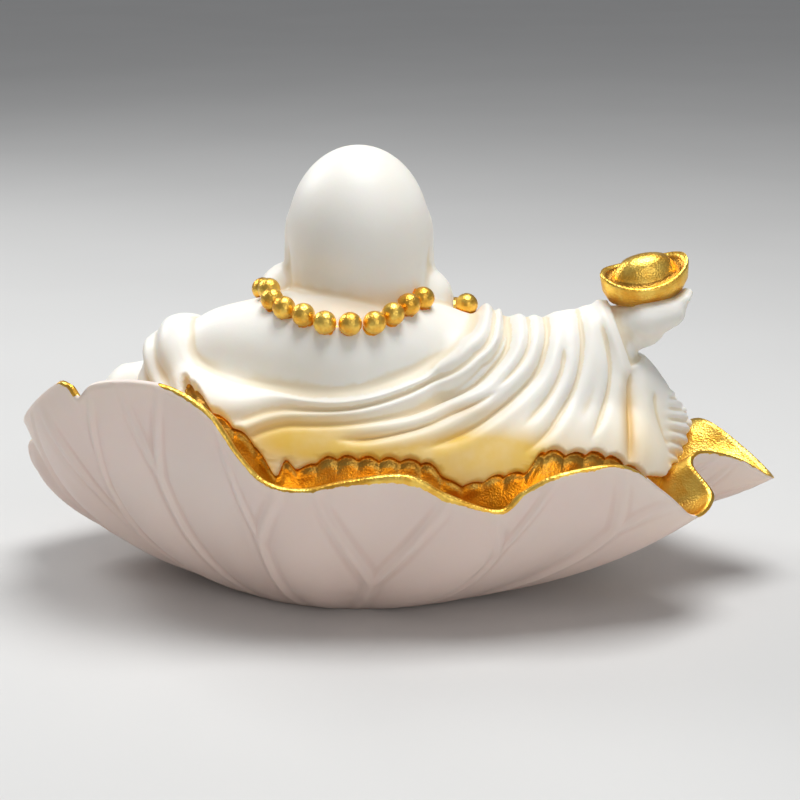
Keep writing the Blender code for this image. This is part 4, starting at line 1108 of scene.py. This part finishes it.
def airbrush_and_painted_light(paint, colour):
    """The colour with soft yellow and orange tints over it, partly airbrushed paint, partly painted
    reflection of the gold and painted shade.
    """
    speckle = paint.ramp(paint.noise(AIRBRUSH_GRAIN), *AIRBRUSH_LIMITS)
    yellow = paint.math("MULTIPLY", paint.attribute("yellow"), speckle)
    # Yellow: partly airbrushed paint, partly painted reflection of the gold.
    colour = paint.mix(yellow, colour, YELLOW_AIRBRUSH_AND_REFLECTION)
    # Orange: partly airbrushed paint, partly painted shade and painted reflection of the gold.
    return paint.mix(paint.attribute("orange"), colour, ORANGE_AIRBRUSH_AND_SHADE)


def two_paint_material(name, light, warm, crease_wash_and_shade, painted_bounce, shaded):
    """Resin with gold paint where the border attribute is above zero, its edge ragged from the brush."""
    paint = Paint(name, SCATTER_SHARE)
    gold_colour, gold_rough, gold_height = gold_look(paint)
    colour, rough, grain = resin_look(paint, light, warm, crease_wash_and_shade, painted_bounce)
    if shaded:
        colour = airbrush_and_painted_light(paint, colour)
    ragged = paint.math("ADD", paint.wander(*BRUSH_WANDER), paint.wander(*BRUSH_HAIRS))
    edge = paint.math("ADD", paint.attribute("border"), ragged)
    is_gold = paint.ramp(edge, -BRUSH_EDGE, BRUSH_EDGE)
    normal = node(paint.tree, "Mix", data_type="VECTOR")
    paint.link(is_gold, normal.inputs[0])
    paint.link(paint.bump(grain, RESIN_BUMP), normal.inputs[4])
    paint.link(paint.bump(gold_height, GOLD_BUMP), normal.inputs[5])
    colour = paint.mix(is_gold, colour, gold_colour)
    rough = paint.mix_number(is_gold, rough, gold_rough)
    return paint.finish(colour, rough, normal.outputs[1], is_gold)


def gold_material(name):
    paint = Paint(name)
    colour, rough, height = gold_look(paint)
    paint.shader.inputs["Metallic"].default_value = 1.0
    return paint.finish(colour, rough, paint.bump(height, GOLD_BUMP))


def place_piece(name, mesh, material):
    mesh.name = name
    mesh.shade_smooth()
    mesh.materials.clear()
    mesh.materials.append(material)
    piece = new_object(name, mesh)
    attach(piece, "root")
    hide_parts(NODE)


def pressed_into_leaf(figure):
    """Presses the figure's points back under the leaf's outer wall where they come through it."""
    outer, _, _ = leaf_rows(LEAF_STATIONS, LEAF_WALL_ROWS, LEAF_INNER_ROWS)
    wall = outer[: int(WALL_SHARE * len(outer))]
    tree = BVHTree.FromPolygons(*wall_faces(wall))
    points = points_of(figure)
    for k in np.flatnonzero(points[:, 2] < wall[-1, :, 2].max()):
        near, normal, _, gap = tree.find_nearest(points[k])
        outward = normal if normal.dot(near - Vector(SEAT)) > 0 else -normal
        over = (Vector(points[k]) - near).dot(outward)
        if gap < WALL_REACH and over > -WALL_COVER:
            points[k] = near - WALL_COVER * outward
    set_points(figure, points)
    return figure


def wall_faces(rows):
    """The points and four-sided faces of a band of closed rows."""
    count = rows.shape[1]
    starts = [row * count for row in range(len(rows) - 1)]
    around = [(k, (k + 1) % count) for k in range(count)]
    faces = [(s + a, s + b, s + b + count, s + a + count) for s in starts for a, b in around]
    return rows.reshape(-1, 3).tolist(), faces


def painted_figure():
    figure = pressed_into_leaf(lightened(made_figure(), FIGURE_TRIANGLES))
    drawn = SEAT + (points_of(figure) - SEAT) / figure_scale()
    behind = step(drawn[:, 1], *BEHIND_FROM)
    below_hem = lower_hem_height(drawn[:, 0]) - drawn[:, 2]
    border = np.where(drawn[:, 1] > BORDER_BEHIND, below_hem, BARE)
    shade = RECESS_SHADE * step(border, 0, 1)
    for place in bead_places(figure):
        near = np.linalg.norm(points_of(figure) - place, axis=1)
        border = np.maximum(border, BEAD_RADIUS + BEAD_SPILL - near)
    # Yellow and orange behind: partly airbrushed paint, partly painted reflection of the gold and painted
    # shade.
    yellow = behind * sum(strength * blob(drawn, *patch) for *patch, strength in YELLOW_PATCHES)
    orange = behind * sum(strength * blob(drawn, *patch) for *patch, strength in ORANGE_PATCHES)
    add_attribute(figure, "border", border)
    add_attribute(figure, "shade", shade)
    add_attribute(figure, "yellow", np.clip(yellow, 0, 1))
    add_attribute(figure, "orange", np.clip(orange, 0, 1))
    add_attribute(figure, "hollow", hollowness(figure, CREASE_ROUNDS))
    return figure


def painted_leaf():
    outer, top, inner = leaf_rows(LEAF_STATIONS, LEAF_WALL_ROWS, LEAF_INNER_ROWS)
    leaf = ring_mesh(np.concatenate([outer, top, inner]), "leaf")
    rim = outer[-1]
    behind = step(rim[:, 1], *BARE_LIP_BEHIND)
    bare_left = step(rim[:, 0], *BARE_LIP_LEFT) * (1 - spot(rim[:, 0], *NOTCH_SPOT))
    bare = behind * np.maximum(bare_left, spot(rim[:, 0], *BARE_LIP_RIGHT))
    pool = LIP_POOL * bump(rim[:, 0] - LIP_POOL_AT, LIP_POOL_WIDTH) * (rim[:, 1] > 0)
    spill = LIP_SPILL + pool - BARE_LIP_DEPTH * bare
    outside = spill - np.linalg.norm(outer - rim, axis=2)
    over_lip = (LIP_GOLD - (LIP_GOLD + BARE_LIP_DEPTH) * bare)[None]
    within = np.linalg.norm(inner - rim, axis=2) - BARE_LIP_DEPTH
    within = within * bare + LEAF_GOLD * (1 - bare)
    add_attribute(leaf, "border", np.concatenate([outside, over_lip, within]).ravel())
    add_attribute(leaf, "hollow", hollowness(leaf, CREASE_ROUNDS))
    return leaf


def studio():
    reach = FLOOR_REACH
    corners = [(-reach, -reach, 0), (reach, -reach, 0), (reach, reach, 0), (-reach, reach, 0)]
    floor = bpy.data.meshes.new("floor")
    floor.from_pydata(corners, [], [(0, 1, 2, 3)])
    paint = Paint("pale_floor")
    clouds = paint.ramp(paint.noise(*FLOOR_CLOUDS), *FLOOR_CLOUD_LIMITS)
    tone = paint.mix(clouds, FLOOR_LIGHT, FLOOR_DARK)
    rough = paint.roughness(paint.noise(*FLOOR_GRAIN), *FLOOR_ROUGHNESS)
    dimples = paint.bump(paint.noise(*FLOOR_DIMPLES), FLOOR_BUMP)
    floor.materials.append(paint.finish(tone, rough, dimples))
    new_object("floor", floor)
    world = bpy.data.worlds.new("studio")
    bpy.context.scene.world = world
    world.use_nodes = True
    background = world.node_tree.nodes["Background"]
    background.inputs["Color"].default_value = DAYLIGHT
    background.inputs["Strength"].default_value = DAYLIGHT_STRENGTH
    bpy.context.scene.view_settings.view_transform = "Standard"
    for settings in LAMPS:
        lamp(*settings)


def lamp(name, place, watts, size):
    light = bpy.data.lights.new(name, "AREA")
    light.energy = watts
    light.size = size
    obj = bpy.data.objects.new(name, light)
    bpy.context.scene.collection.objects.link(obj)
    obj.location = place
    obj.rotation_euler = (Vector(AIM) - Vector(place)).to_track_quat("-Z", "Y").to_euler()


def photo_camera():
    data = bpy.data.cameras.new("camera")
    data.sensor_width = CAMERA_SENSOR
    data.lens = CAMERA_LENS
    data.clip_start = CAMERA_NEAREST
    camera = bpy.data.objects.new("camera", data)
    bpy.context.scene.collection.objects.link(camera)
    back = Vector((0.0, math.cos(CAMERA_ELEVATION), math.sin(CAMERA_ELEVATION)))
    camera.location = Vector(AIM) + back * CAMERA_DISTANCE
    camera.rotation_euler = (-back).to_track_quat("-Z", "Y").to_euler()
    bpy.context.scene.camera = camera


photo_camera()
studio()
figure_mesh = painted_figure()
beads_mesh = mesh_joined(made_beads(figure_mesh))
ingot_mesh = triangulated(made_ingot(INGOT_SEGMENTS))
# The ingot's hollows, where its gold is painted darker as painted shade.
add_attribute(ingot_mesh, "hollow", hollowness(ingot_mesh, INGOT_CREASE_ROUNDS))
figure_looks = (IVORY_LIGHT, IVORY_WARM, FIGURE_CREASE_WASH_AND_SHADE, 0.0, True)
# The leaf: ivory resin with painted pink reflected light and painted shade, strongest low down.
leaf_looks = (LEAF_IVORY_PAINTED_PINK, LEAF_PINK_PAINTED_SHADE, LEAF_CREASE_WASH_AND_SHADE, LEAF_PAINTED_BOUNCE, False)
place_piece("figure", figure_mesh, two_paint_material("figure_resin", *figure_looks))
place_piece("leaf", painted_leaf(), two_paint_material("leaf_resin", *leaf_looks))
place_piece("necklace", beads_mesh, gold_material("bead_gold"))
place_piece("ingot", ingot_mesh, gold_material("ingot_gold"))
